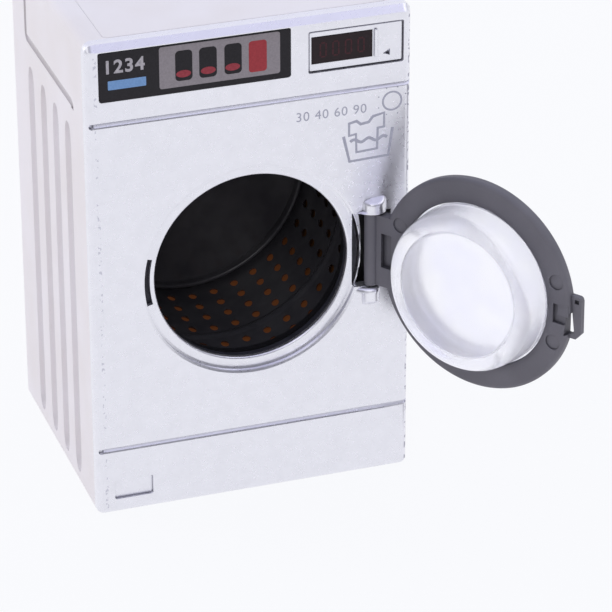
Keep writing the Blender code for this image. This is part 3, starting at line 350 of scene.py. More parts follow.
# cuts away or joins on tools, each a bmesh or a shape
def combine(shape, operation, tools):
    solids = [t if isinstance(t, bpy.types.Object) else makeShape("tool", t) for t in tools]
    for solid in solids:
        modifier = shape.modifiers.new(solid.name, "BOOLEAN")
        modifier.object = solid
        modifier.operation = operation
        modifier.solver = "EXACT"
    bake(shape)
    for solid in solids:
        bpy.data.objects.remove(solid, do_unlink=True)
    return shape


def carve(shape, *tools):
    return combine(shape, "DIFFERENCE", tools)


def weld(shape, *tools):
    return combine(shape, "UNION", tools)


# rounds the edges sharper than the limit, or without a limit those that have a weight
def easeEdges(shape, radius, segments=2, limit=30.0):
    ease = shape.modifiers.new("easedEdges", "BEVEL")
    ease.width = radius
    ease.segments = segments
    ease.limit_method = "ANGLE" if limit else "WEIGHT"
    ease.angle_limit = math.radians(limit)
    ease.miter_outer = "MITER_ARC"
    return bake(shape)


# gives sharp edges a weight, apart from the slanting ones on the rim round the door
def weighEdges(shape, limit, nearest, farthest, steepest):
    bm = bmesh.new()
    bm.from_mesh(shape.data)
    weight = bm.edges.layers.float.new("bevel_weight_edge")
    for edge in bm.edges:
        turn = math.degrees(edge.calc_face_angle(0.0))
        spans = [math.hypot(v.co.x - door.x, v.co.z - door.z) for v in edge.verts]
        onRim = nearest < min(spans) and max(spans) < farthest and turn < steepest
        edge[weight] = 1.0 if turn > limit and not onRim else 0.0
    bm.to_mesh(shape.data)
    bm.free()


# keeps the rims of level faces crisp where only a slight slope starts
def hardenRims(mesh, levels):
    bm = bmesh.new()
    bm.from_mesh(mesh)
    for edge in bm.edges:
        if any(liesOn(edge, 1, level) for level in levels) and edge.calc_face_angle(0.0) > 0.3:
            edge.smooth = False
    bm.to_mesh(mesh)
    bm.free()


# scales to metres, shades, gives the finish, attaches to the body it rides on, and hides the
# imported nodes it stands in for
def settle(shape, body, finishNames, nodes=(), crease=40.0, rims=()):
    mesh = shape.data
    for finishName in finishNames:
        mesh.materials.append(look[finishName])
    mesh.shade_smooth()
    mesh.set_sharp_from_angle(angle=math.radians(crease))
    hardenRims(mesh, rims)
    mesh.transform(Matrix.Scale(mm, 4))
    weigh = shape.modifiers.new("flatFacesFirst", "WEIGHTED_NORMAL")
    weigh.keep_sharp = True
    bake(shape)
    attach(shape, body)
    if nodes:
        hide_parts(*nodes)
    return shape


def cornerArc(centre, radius, start, end, steps):
    turns = [math.radians(start + (end - start) * step / steps) for step in range(steps + 1)]
    return [(centre[0] + radius * math.cos(a), centre[1] + radius * math.sin(a)) for a in turns]


# rounded rectangle with one radius for the lower and one for the upper corners
def roundedRect(left, right, foot, top, low, high=None, steps=8):
    high = low if high is None else high
    points = cornerArc((right - high, top - high), high, 0, 90, steps)
    points += cornerArc((left + high, top - high), high, 90, 180, steps)
    points += cornerArc((left + low, foot + low), low, 180, 270, steps)
    points += cornerArc((right - low, foot + low), low, 270, 360, steps)
    return points


# a plate from an outline, thick from start to end along the numbered axis
def plate(outline, start, end, axis=1):
    bm = bmesh.new()
    ring = [bm.verts.new((*pair[:axis], start, *pair[axis:])) for pair in outline]
    grown = bmesh.ops.extrude_face_region(bm, geom=[bm.faces.new(ring)])
    moved = [item for item in grown["geom"] if isinstance(item, bmesh.types.BMVert)]
    step = Vector()
    step[axis] = end - start
    bmesh.ops.translate(bm, vec=step, verts=moved)
    return bm


def block(low, high):
    bm = bmesh.new()
    bmesh.ops.create_cube(bm, size=1.0)
    bmesh.ops.scale(bm, vec=[b - a for a, b in zip(low, high)], verts=bm.verts)
    bmesh.ops.translate(bm, vec=[(a + b) / 2 for a, b in zip(low, high)], verts=bm.verts)
    return bm


# a round bar from one point to another
def rod(radius, start, end, steps, bm=None, endRadius=None):
    start, end = Vector(start), Vector(end)
    turn = (end - start).to_track_quat("Z", "Y").to_matrix().to_4x4()
    bm = bm or bmesh.new()
    bmesh.ops.create_cone(
        bm,
        cap_ends=True,
        segments=steps,
        radius1=radius,
        radius2=endRadius or radius,
        depth=(end - start).length,
        matrix=Matrix.Translation((start + end) / 2) @ turn,
    )
    return bm


# adds a round bar from front to back
def deepRod(bm, radius, x, z, start, end, steps):
    return rod(radius, (x, start, z), (x, end, z), steps, bm)


# turns a profile of (radius, y) about a level axis through a centre
def spun(profile, steps=144, centre=door):
    bm = bmesh.new()
    points = [bm.verts.new((centre.x + radius, y, centre.z)) for radius, y in profile]
    lines = [bm.edges.new(pair) for pair in zip(points, points[1:])]
    if profile[0][0] > 0:
        lines.append(bm.edges.new((points[-1], points[0])))
    bmesh.ops.spin(
        bm,
        geom=points + lines,
        cent=(centre.x, 0.0, centre.z),
        axis=(0.0, 1.0, 0.0),
        dvec=(0.0, 0.0, 0.0),
        angle=math.tau,
        steps=steps,
        use_merge=True,
    )
    bmesh.ops.remove_doubles(bm, verts=bm.verts, dist=0.002)
    return bm


# bridges rings of points, and gives back the bmesh with its two end faces
def skin(rings):
    bm = bmesh.new()
    loops = [[bm.verts.new(point) for point in ring] for ring in rings]
    rounds = [[bm.edges.new(pair) for pair in zip(loop, loop[1:] + loop[:1])] for loop in loops]
    for near, far in zip(rounds, rounds[1:]):
        bmesh.ops.bridge_loops(bm, edges=near + far)
    return bm, [bm.faces.new(loops[0]), bm.faces.new(loops[-1])]


# the bmesh of a curve or a text
def fromCurve(curve, merge):
    holder = placeObject(curve.name, curve)
    mesh = finalMesh(holder)
    bpy.data.objects.remove(holder, do_unlink=True)
    bm = bmesh.new()
    bm.from_mesh(mesh)
    bpy.data.meshes.remove(mesh)
    bmesh.ops.remove_doubles(bm, verts=bm.verts, dist=merge)
    return bm


# a closed tube along points
def tube(points, radius, resolution=2, closed=False):
    curve = bpy.data.curves.new("tube", "CURVE")
    curve.dimensions = "3D"
    curve.bevel_depth = radius
    curve.bevel_resolution = resolution
    curve.use_fill_caps = True
    spline = curve.splines.new("POLY")
    spline.points.add(len(points) - 1)
    for point, place in zip(spline.points, points):
        point.co = (*place, 1.0)
    spline.use_cyclic_u = closed
    return fromCurve(curve, 0.0005)


# rounds the edges of a bmesh, or only those on one level plane from front to back
def roundOff(bm, radius, segments, level=None):
    bmesh.ops.bevel(
        bm,
        geom=[edge for edge in bm.edges if level is None or liesOn(edge, 1, level)],
        offset=radius,
        offset_type="OFFSET",
        affect="EDGES",
        segments=segments,
        profile=0.5,
        material=-1,
    )
    return bm


def liesOn(edge, axis, value):
    return all(abs(vert.co[axis] - value) < 0.01 for vert in edge.verts)


# joins bmeshes, each with its own finish number, into one shape
def gather(name, layers):
    whole = bmesh.new()
    for number, bm in layers:
        for face in faceOut(bm).faces:
            face.material_index = number
        mesh = toMesh(name, bm)
        whole.from_mesh(mesh)
        bpy.data.meshes.remove(mesh)
    return placeObject(name, toMesh(name, whole))


# white cabinet
cabinet = {
    "topRadius": 1.9,
    "footRadius": 1.3,
    "rearRadius": 0.8,
    "wall": 2.0,
    "hollowRadius": 0.6,
    "fluteCentres": (12.6, 20.8, 29.0, 37.6),  # back from the front plane
    "fluteWidth": 4.0,
    "fluteDepth": 1.35,
    "fluteRim": 0.25,
    "fluteFoot": 2.8,
    "fluteTop": 73.8,
    "fluteTaper": 4.5,
    "lineZ": 78.9,
    "lineFront": 8.8,
    "lineBack": 40.2,
    "lineHook": 1.1,
    "lineWidth": 1.5,
    "lineDepth": 0.62,
    "lineCorner": 1.0,
    "lidRadius": 1.0,
    "lidGap": 0.25,  # seam behind the panel
    "lidEase": 0.22,
    "postSize": 6.4,
    "postDepth": 7.0,
    "postSunk": 0.5,  # how far a post reaches into the walls
    "boreDepth": 6.3,
    "boreRadius": 1.1,
    "screwReach": 24.8,
    "screwLow": 5.2,
    "screwHigh": 88.2,
    "coverRadius": 0.8,
    "sinkRadius": 2.1,
    "sinkDepth": 1.2,
}
reach, low, high = (cabinet[key] for key in ("screwReach", "screwLow", "screwHigh"))
screwPlaces = {
    "lower_left": (-reach, low),
    "lower_right": (reach, low),
    "upper_left": (-reach, high),
    "upper_right": (reach, high),
}


# radius of the circle that cuts a hollow of this half width and depth
def arcRadius(half, depth):
    return (half * half + depth * depth) / (2 * depth)


# spindle whose skin cuts a shallow flute with ends that run out gently
def fluteTool(side, fromFront):
    depth = cabinet["fluteDepth"]
    radius = arcRadius(cabinet["fluteWidth"] / 2, depth)
    foot, top, taper = cabinet["fluteFoot"], cabinet["fluteTop"], cabinet["fluteTaper"]
    profile = [(0.0, foot)]
    for count in range(9):
        turn = math.pi / 2 * (count / 8)
        out = radius - depth + depth * math.sin(turn)
        profile.append((out, foot + taper * (1 - math.cos(turn))))
    profile += [(r, foot + top - z) for r, z in reversed(profile)]
    bm = spun(profile, 96, Vector())
    place = Matrix.Translation((side * (sideX + radius - depth), frontY + fromFront, 0.0))
    bmesh.ops.transform(bm, matrix=place @ Matrix.Rotation(math.pi / 2, 4, "X"), verts=bm.verts)
    return bm


# the band line: a short hook, the level run, and the rise to the top
def lineTool(side):
    depth, bend = cabinet["lineDepth"], cabinet["lineCorner"]
    radius = arcRadius(cabinet["lineWidth"] / 2, depth)
    x = side * (sideX + radius - depth)
    z = cabinet["lineZ"]
    front, back = (frontY + cabinet[key] for key in ("lineFront", "lineBack"))
    path = [(front, z - cabinet["lineHook"])]
    path += cornerArc((front + bend, z - bend), bend, 180, 90, 6)
    path += cornerArc((back - bend, z + bend), bend, -90, 0, 6)
    path += [(back, topZ + 2 * past)]
    return tube([(x, y, z) for y, z in path], radius, 12)


def lidOutline(margin, frontGap=0.0):
    return roundedRect(
        lidLow.x - margin,
        lidHigh.x + margin,
        panelBackY + 0.03 - margin + frontGap,
        lidHigh.y + margin,
        cabinet["lidRadius"] + margin,
    )


faceOutline = roundedRect(-sideX, sideX, 0.0, topZ, cabinet["footRadius"], cabinet["topRadius"])
outer = roundOff(plate(faceOutline, frontY, backY), cabinet["rearRadius"], 4, backY)
cabinetBody = makeShape("cabinetBody", outer)
for side in (-1, 1):
    carve(cabinetBody, *[fluteTool(side, centre) for centre in cabinet["fluteCentres"]])
easeEdges(cabinetBody, cabinet["fluteRim"], 3, 35.0)
wall = cabinet["wall"]
hollow = roundedRect(-sideX + wall, sideX - wall, wall, topZ - wall, cabinet["hollowRadius"])
panelSpace = block(
    (-sideX - 2 * past, frontY - 2 * past, -2 * past),
    (sideX + 2 * past, panelBackY + 0.01, topZ + 2 * past),
)
carve(cabinetBody, panelSpace, plate(hollow, frontY - past, backY + past))
postBack = coverLow.y - air
half, sunk = cabinet["postSize"] / 2, cabinet["postSunk"]
for x, z in screwPlaces.values():
    spans = []
    for middle, outward in ((x, x), (z, z - topZ / 2)):
        inEnd = middle - math.copysign(half, outward)
        spans.append(sorted((inEnd, middle + math.copysign(half + sunk, outward))))
    (left, right), (foot, top) = spans
    weld(cabinetBody, block((left, postBack - cabinet["postDepth"], foot), (right, postBack, top)))
bores = bmesh.new()
for x, z in screwPlaces.values():
    start = coverLow.y - cabinet["boreDepth"]
    deepRod(bores, cabinet["boreRadius"], x, z, start, coverLow.y + past, 24)
carve(cabinetBody, bores, plate(lidOutline(0.03), lidLow.z - 0.1, topZ + past, 2))
for side in (-1, 1):
    carve(cabinetBody, lineTool(side))
easeEdges(cabinetBody, 0.12, 2, 40.0)
settle(cabinetBody, "cabinet", ["mouldedWhiteAbs"], ["cabinet_shell"])

lidPlate = makeShape("lidPlate", plate(lidOutline(0.0, cabinet["lidGap"]), lidLow.z, topZ, 2))
easeEdges(lidPlate, cabinet["lidEase"])
settle(lidPlate, "cabinet", ["mouldedWhiteAbs"], ["top_cover"])

# rear cover with its sunk screws
outline = roundedRect(coverLow.x, coverHigh.x, coverLow.z, coverHigh.z, cabinet["coverRadius"])
rearCover = makeShape("rearCover", plate(outline, coverLow.y, coverHigh.y))
holes, sinks = bmesh.new(), bmesh.new()
sinkFloor, behind = coverHigh.y - cabinet["sinkDepth"], coverHigh.y + past
for x, z in screwPlaces.values():
    deepRod(holes, cabinet["boreRadius"], x, z, coverLow.y - past, behind, 32)
    deepRod(sinks, cabinet["sinkRadius"], x, z, sinkFloor, behind, 48)
carve(rearCover, holes, sinks)
easeEdges(rearCover, 0.15)
settle(rearCover, "cabinet", ["mouldedWhiteAbs"], ["rear_cover"])

screw = {
    "head": 1.8,
    "headHeight": 0.9,
    "headRounding": 0.45,
    "shank": 0.8,
    "threadDepth": 0.16,
    "threadPitch": 0.4,
    "tip": 0.6,
    "crossWide": 0.45,
    "crossLong": 2.0,
    "crossDepth": 0.45,
}
core = screw["shank"] - screw["threadDepth"]
rounding, pitch = screw["headRounding"], screw["threadPitch"]
for place, (x, z) in screwPlaces.items():
    node = "rear_screw_" + place
    screwLow, screwHigh = nodeBox(node)
    face = screwHigh.y
    seat = face - screw["headHeight"]
    profile = [(0.0, face)]
    profile += cornerArc((screw["head"] - rounding, face - rounding), rounding, 90, 0, 4)
    profile += [(screw["head"], seat), (screw["shank"], seat)]
    thread = seat - 0.5
    while thread > screwLow.y + 1.0:
        profile += [(screw["shank"], thread), (core, thread - pitch / 2)]
        thread -= pitch
    profile += [(core, screwLow.y + screw["tip"]), (0.0, screwLow.y)]
    piece = makeShape("rearScrew_" + place, spun(profile, 32, Vector((x, 0.0, z))))
    wide, long = screw["crossWide"] / 2, screw["crossLong"] / 2
    floor = face - screw["crossDepth"]
    level = block((x - long, floor, z - wide), (x + long, face + past, z + wide))
    steep = block((x - wide, floor, z - long), (x + wide, face + past, z + long))
    carve(piece, level, steep)
    settle(piece, "cabinet", ["platedSteel"], [node], 30.0)
print("cabinet ready")

# silver front panel
panel = {
    "edgeRadius": 1.2,
    "lip": ((1.0, 92.0), (-0.9, 92.02), (-1.07, 92.1), (-1.1, 92.25), (-0.08, 93.4), (1.0, 93.4)),
    "lipHeart": (1.0, 92.15),
    "lipReach": 2.1,
    "lipRounding": 1.5,
    "lipEnd": 0.45,
    "upperGroove": (77.65, 78.4, 0.8),  # foot, top, depth
    "lowerGroove": (13.0, 13.7, 0.7),
    "grooveEase": (0.28, 0.11),  # height and depth of the eased edge below a groove
    "groovePit": (0.35, -0.55, 0.5, 0.95),  # place, radius and depth of the pit at its end
    "grooveLeft": -29.35,
    "recessRadius": 20.37,
    "recessDepth": 1.15,
    "recessEase": (0.4, 0.17),  # width and depth of the edges above and below its wall
    "mouthRadius": 18.15,
    "mouthEdge": 0.45,
    "slot": (20.8, 19.1, 13.4, 0.25),  # radii, half angle, and depth of its front
    "windowLeft": hinge.x - 3.5,
    "windowRight": hinge.x + 3.5,
    "windowFoot": 38.72,
    "windowTop": 53.62,
    "notchFoot": 52.4,
    "frame": (10.7, 28.5, 82.3, 90.3),
    "frameDepth": 0.5,
    "frameRadius": 0.35,
    "nick": ((24.75, 84.1), (26.05, 83.65), (26.1, 84.9)),
    "nickDepth": 1.5,
    "ledge": (23.1, 23.65, 83.75, 89.05),
    "ledgeEase": 0.12,
    "filter": (-26.7, -19.4, 2.9, 6.8),
    "filterDepth": 0.6,
    "filterRadius": 0.4,
    "collarInner": 20.74,
    "collarOuter": 20.98,
    "collarSwell": 0.75,
    "collarDepth": 2.0,
    "bezelGap": 0.26,
    "bezelDepth": 0.9,
    "bezelTop": 0.5,
    "bezelLeft": 0.42,
    "bezelRadius": 0.2,
    "pinBore": 0.8,
    "bossReach": 21.35,
    "bossRadius": 2.3,
    "bossDepth": 2.3,
}


# the lip, whose ends round over towards its heart
def lipBar():
    heartY, heartZ = panel["lipHeart"]
    end, rounding = sideX - panel["lipEnd"], panel["lipRounding"]
    places = []
    for count in range(7):
        turn = math.pi / 2 * count / 6
        share = 1.0 - rounding * (1.0 - math.sin(turn)) / panel["lipReach"]
        places.append((-end + rounding * (1.0 - math.cos(turn)), share))
    places += [(-x, share) for x, share in reversed(places)]
    rings = []
    for x, share in places:
        section = [((y - heartY) * share, (z - heartZ) * share) for y, z in panel["lip"]]
        rings.append([(x, frontY + heartY + y, heartZ + z) for y, z in section])
    return skin(rings)[0]


# wedge that cuts a groove: a level overhang, and a sloping flank that faces up
def grooveTool(foot, top, depth):
    easeHeight, easeDepth = panel["grooveEase"]
    outline = [
        (frontY - past, foot - easeHeight), (frontY, foot - easeHeight), (frontY + easeDepth, foot),
        (frontY + depth, top - 0.12), (frontY + depth, top), (frontY - past, top),
    ]
    return plate(outline, panel["grooveLeft"], sideX + past, 0)


def recessTool():
    floor = frontY + panel["recessDepth"]
    rim = panel["recessRadius"]
    width, sunk = panel["recessEase"]
    mouth, rounding = panel["mouthRadius"], panel["mouthEdge"]
    ahead = frontY - 2 * past
    profile = [(0.0, ahead), (rim + width, ahead), (rim + width, frontY)]
    profile += [(rim, frontY + sunk), (rim, floor - sunk), (rim - width, floor)]
    profile += cornerArc((mouth + rounding, floor + rounding), rounding, 270, 180, 6)
    profile += [(mouth, panelBackY + past), (0.0, panelBackY + past)]
    return spun(profile, 192)


# hinge ears: plan outlines round the nose, the flared one for the edge next to the door
ears = {
    "slim": (
        (21.0, -24.0), (21.0, -24.9), (21.15, -25.6), (21.6, -26.3), (22.2, -26.62),
        (22.9, -26.75), (23.6, -26.7), (24.1, -26.55), (24.6, -26.25), (25.05, -25.75),
        (25.4, -25.2), (25.6, -24.0),
    ),
    "flared": (
        (19.6, -24.0), (19.65, -24.9), (20.2, -25.35), (21.0, -26.0), (21.9, -26.5),
        (22.9, -26.78), (23.6, -26.73), (24.1, -26.58), (24.6, -26.28), (25.05, -25.78),
        (25.4, -25.2), (25.6, -24.0),
    ),
    "lowSlim": (
        (20.9, -24.0), (20.9, -24.9), (21.1, -25.5), (21.5, -26.0), (22.1, -26.4),
        (22.7, -26.5), (23.2, -26.45), (23.6, -26.25), (23.9, -25.9), (24.15, -25.5),
        (24.3, -25.1), (24.4, -24.0),
    ),
    "lowFoot": (
        (21.0, -24.0), (21.0, -24.9), (21.2, -25.02), (21.6, -25.05), (22.1, -25.07),
        (22.5, -25.08), (22.9, -25.07), (23.2, -25.06), (23.5, -25.05), (23.7, -25.03),
        (23.9, -24.98), (24.0, -24.0),
    ),
    "lowHalf": (
        (20.9, -24.0), (20.9, -24.9), (21.15, -25.3), (21.55, -25.6), (22.1, -25.82),
        (22.7, -25.88), (23.2, -25.84), (23.6, -25.72), (23.9, -25.5), (24.1, -25.28),
        (24.25, -25.0), (24.4, -24.0),
    ),
    "lowFlared": (
        (19.6, -24.0), (19.65, -24.9), (20.1, -25.35), (20.8, -25.9), (21.7, -26.35),
        (22.5, -26.6), (23.1, -26.6), (23.6, -26.4), (23.95, -26.05), (24.2, -25.6),
        (24.4, -25.1), (24.5, -24.0),
    ),
    "back": ((24.4, -24.0), (23.0, -24.0), (21.9, -24.0)),
    "heart": (23.2, -24.4),
    "fall": 0.5,
    "innerFall": (21.9, 0.9, 0.7),  # start, run and share of the drop at an end
    "outerFall": (24.9, 0.7, 0.3),
    "flareHeight": 0.35,
    "reach": 2.3,  # from the heart to the nose
    "upperTop": 56.75,
    "upperRounding": 0.75,
    "lowerLevels": (35.0, 35.35, 36.0),
    "lowerRounding": 0.8,
    "lowerLip": 1.15,
}


# how far an ear's top drops towards its nose, its inner and its outer end
def earDrop(x, y):
    start, run, share = ears["innerFall"]
    drop = ears["fall"] * max(0.0, frontY - y) + share * max(0.0, (start - x) / run) ** 2
    start, run, share = ears["outerFall"]
    return drop + share * max(0.0, (x - start) / run) ** 2


# an ear from rings: outline, level, whether its top falls, and how much it draws in
def ear(levels):
    heartX, heartY = ears["heart"]
    rings = []
    for outline, level, falls, share in levels:
        ring = []
        for x, y in ears[outline] + ears["back"]:
            drop = earDrop(x, y) if falls else 0.0
            place = (heartX + (x - heartX) * share, heartY + (y - heartY) * share)
            ring.append((*place, level - drop))
        rings.append(ring)
    bm, ends = skin(rings)
    bmesh.ops.recalc_face_normals(bm, faces=bm.faces)
    bmesh.ops.triangulate(bm, faces=ends)
    return bm


# rings of an ear's rolled-over top edge
def rolledTop(outline, top, radius, falls):
    rings = []
    for count in range(6):
        turn = math.pi / 2 * count / 5
        share = 1.0 - radius * (1.0 - math.cos(turn)) / ears["reach"]
        rings.append((outline, top - radius + radius * math.sin(turn), falls, share))
    return rings


slab = roundOff(plate(faceOutline, frontY, panelBackY), panel["edgeRadius"], 6, frontY)
frontPanel = makeShape("frontPanel", slab)
weld(frontPanel, lipBar())
carve(frontPanel, recessTool())
far, near, half, front = panel["slot"]
slotOutline = cornerArc((door.x, door.z), far, 180 - half, 180 + half, 16)
slotOutline += cornerArc((door.x, door.z), near, 180 + half, 180 - half, 16)
left, top = panel["windowLeft"], panel["windowTop"]
windowTool = block(
    (left, frontY - past, panel["windowFoot"]),
    (panel["windowRight"], panelBackY + past, top),
)
carve(frontPanel, plate(slotOutline, frontY + front, panelBackY + past), windowTool)
# the shut door's arm passes between the recess and the window
armNotch = block(
    (left - 0.5, frontY - past, panel["notchFoot"]),
    (left + 0.1, frontY + panel["recessDepth"], top),
)
carve(frontPanel, armNotch)
grooves = (panel["upperGroove"], panel["lowerGroove"])
carve(frontPanel, *[grooveTool(*groove) for groove in grooves])
across, down, radius, depth = panel["groovePit"]
pits = bmesh.new()
for groove in grooves:
    x, z = panel["grooveLeft"] + across, groove[1] + down
    deepRod(pits, radius, x, z, frontY - past, frontY + depth, 20)
carve(frontPanel, pits)

# seats of the labels, the display's frame with its bezel, and the filter door
labelSeat = roundedRect(
    labelLow.x - 0.1, labelHigh.x + 0.1, labelLow.z - 0.1, labelHigh.z + 0.1, 0.6, 0.35
)
frameSeat = roundedRect(*panel["frame"], panel["frameRadius"], steps=4)
filterSeat = roundedRect(*panel["filter"], panel["filterRadius"], steps=4)
screenSeat = block(
    (screenLow.x - 0.1, frontY, screenLow.z - 0.1),
    (screenHigh.x + 0.1, screenHigh.y + 0.1, screenHigh.z + 0.1),
)
carve(
    frontPanel,
    plate(labelSeat, frontY - past, labelHigh.y + 0.05),
    plate(frameSeat, frontY - past, frontY + panel["frameDepth"]),
    plate(filterSeat, frontY - past, frontY + panel["filterDepth"]),
)
carve(frontPanel, screenSeat)
left, right, foot, top = panel["frame"]
gap = panel["bezelGap"]
gapTool = makeShape("gapTool", plate(frameSeat, frontY + 0.2, frontY + panel["bezelDepth"]))
coreTop, coreLeft = top - panel["bezelTop"], left + panel["bezelLeft"]
core = roundedRect(coreLeft, right - gap, foot + gap, coreTop, panel["bezelRadius"], steps=4)
carve(gapTool, plate(core, frontY - past, frontY + 3 * past))
carve(frontPanel, gapTool)
carve(frontPanel, plate(panel["nick"], frontY - past, frontY + panel["nickDepth"]))
left, right, foot, top = panel["ledge"]
ledge = block((left, frontY + 0.05, foot), (right, frontY + panel["frameDepth"] + 0.2, top))
weld(frontPanel, roundOff(ledge, panel["ledgeEase"], 3))

# ears above and below the window, then the collar that holds the lining
upperFoot, lowerTop = panel["windowTop"], panel["windowFoot"] - 0.1
footLow, footMiddle, footHigh = ears["lowerLevels"]
lowerEar = ear([
    ("lowFoot", footLow, False, 1.0),
    ("lowHalf", footMiddle, False, 1.0),
    ("lowSlim", footHigh, False, 1.0),
    ("lowSlim", lowerTop - ears["lowerLip"], False, 1.0),
    *rolledTop("lowFlared", lowerTop, ears["lowerRounding"], False),
])
weld(frontPanel, lowerEar)
upperEar = ear([
    ("flared", upperFoot, False, 1.0),
    ("slim", upperFoot + ears["flareHeight"], False, 1.0),
    *rolledTop("slim", ears["upperTop"], ears["upperRounding"], True),
])
weld(frontPanel, upperEar)
inner, outer = panel["collarInner"], panel["collarOuter"]
front, rear = panelBackY - air, panelBackY + panel["collarDepth"]
weld(frontPanel, spun([(outer, rear), (outer, front), (inner, front), (inner, rear)], 192))
swollen = cornerArc((door.x, door.z), inner + 0.05, 30, 0, 16)
for count in range(17):
    turn = math.radians(30 * count / 16)
    reach = outer + panel["collarSwell"] * (count / 10.5) ** 1.5 - 0.02
    swollen.append((door.x + reach * math.cos(turn), door.z + reach * math.sin(turn)))
weld(frontPanel, plate(swollen, panelBackY - air / 2, rear - 0.05))
pinFoot, pinTop = (hinge.x, hinge.y, pinLow.z - air), (hinge.x, hinge.y, pinHigh.z + air)
carve(frontPanel, rod(panel["pinBore"], pinFoot, pinTop, 32))
bosses, bossBores = bmesh.new(), bmesh.new()
bossRear = panelBackY + panel["bossDepth"]
for acrossShare in (-1, 1):
    for upShare in (-1, 1):
        x, z = panel["bossReach"] * acrossShare + door.x, panel["bossReach"] * upShare + door.z
        deepRod(bosses, panel["bossRadius"], x, z, panelBackY - air, bossRear, 48)
        start = panelBackY + 0.15
        deepRod(bossBores, cabinet["boreRadius"], x, z, start, bossRear + past, 32)
weld(frontPanel, bosses)
carve(frontPanel, bossBores)
# the recess's eased rims stay as they are
weighEdges(frontPanel, 32.0, panel["recessRadius"] - 0.5, panel["recessRadius"] + 0.5, 75.0)
easeEdges(frontPanel, 0.1, 2, 0.0)
levels = (frontY, frontY + panel["recessDepth"])
settle(frontPanel, "cabinet", ["platedSilverAbs"], ["front_panel"], rims=levels)
print("front panel ready")

# printed labels: each layer of ink lies a hair proud of the one below
label = {
    "radii": (0.5, 0.25),
    "field": (-16.6, 5.45, 83.35, 91.25),
    "keys": ((-13.7, -10.6), (-9.35, -6.15), (-4.75, -1.6)),
    "keyZ": (84.45, 90.15),
    "redKey": (-0.3, 3.0, 84.2, 90.1),
    "ovals": (-12.22, -7.73, -3.27),
    "ovalZ": 85.75,
    "ovalHalf": (1.35, 0.68),
    "bar": (-25.9, -19.0, 84.5, 86.2),
    "numbers": (-26.75, 87.65, 2.4, "1234"),
    "spacing": 1.14,
    "bolder": 0.09,
    "inkStep": 0.02,
    "inkDepth": 0.03,
}
labelFront = labelLow.y


def inkPatch(outline, front):
    return plate(outline, front, front + label["inkDepth"])


def ellipse(x, z, halfX, halfZ, steps=32):
    turns = [math.tau * step / steps for step in range(steps)]
    return [(x + halfX * math.cos(a), z + halfZ * math.sin(a)) for a in turns]


# plain numbers as a thin mesh on the front
def numberMesh(left, foot, height, text, front, spacing=1.0, bolder=0.0):
    curve = bpy.data.curves.new("numbers", "FONT")
    curve.body = text
    curve.offset = bolder
    curve.size = height / 0.7  # a digit's height is this share of the size
    curve.space_character = spacing
    curve.extrude = 0.01
    bm = fromCurve(curve, 0.0001)
    turn = Matrix.Translation((left, front, foot)) @ Matrix.Rotation(math.pi / 2, 4, "X")
    bmesh.ops.transform(bm, matrix=turn, verts=bm.verts)
    return bm


sheet = roundedRect(labelLow.x, labelHigh.x, labelLow.z, labelHigh.z, *label["radii"])
first, second, third = (labelFront - label["inkStep"] * count for count in (1, 2, 3))
numbers = numberMesh(*label["numbers"], first, label["spacing"], label["bolder"])
layers = [
    (0, roundOff(plate(sheet, labelFront, labelHigh.y), 0.04, 2, labelFront)),
    (1, inkPatch(roundedRect(*label["field"], 0.5), first)),
]
layers += [(2, inkPatch(roundedRect(*key, *label["keyZ"], 0.75), second)) for key in label["keys"]]
layers.append((3, inkPatch(roundedRect(*label["redKey"], 0.6), second)))
for x in label["ovals"]:
    layers.append((4, inkPatch(ellipse(x, label["ovalZ"], *label["ovalHalf"]), third)))
layers += [(5, inkPatch(roundedRect(*label["bar"], 0.15), first)), (6, numbers)]
controlLabel = gather("controlLabel", layers)
labelInks = [
    "charcoalInk", "warmGreyInk", "blackKeyInk", "signalRedInk", "dullRedInk", "skyBlueInk",
    "paleInk",
]
settle(controlLabel, "cabinet", labelInks, ["control_label"], 30.0)

# seven bars make a digit; the display shows four dim noughts
digit = {
    "count": 4,
    "width": 1.35,
    "height": 2.9,
    "bar": 0.28,
    "gap": 0.08,
    "pitch": 2.35,
    "left": 12.9,
    "foot": 84.95,
}
screenFront = screenLow.y
layers = [(0, roundOff(block(screenLow, screenHigh), 0.05, 2, screenFront))]
for number in range(digit["count"]):
    left = digit["left"] + number * digit["pitch"]
    right, foot = left + digit["width"], digit["foot"]
    top, bar = foot + digit["height"], digit["bar"]
    middle, gap = (foot + top) / 2, digit["gap"]
    bars = [(left + bar, right - bar, foot, foot + bar), (left + bar, right - bar, top - bar, top)]
    for start, end in ((left, left + bar), (right - bar, right)):
        bars.append((start, end, foot + bar, middle - gap))
        bars.append((start, end, middle + gap, top - bar))
    for x0, x1, z0, z1 in bars:
        layers.append((1, block((x0, screenFront - 0.02, z0), (x1, screenFront + 0.02, z1))))
displayLabel = gather("displayLabel", layers)
displayInks = ["wineBlackInk", "dimRedInk"]
settle(displayLabel, "cabinet", displayInks, ["display_label"], 30.0)


# ink line along points on the front plane, a tube pressed flat
def inkLine(points, width, closed=False):
    bm = tube([(x, 0.0, z) for x, z in points], width / 2, 2, closed)
    bmesh.ops.scale(bm, vec=(1.0, 0.06, 1.0), verts=bm.verts)
    bmesh.ops.translate(bm, vec=(0.0, frontY, 0.0), verts=bm.verts)
    return bm


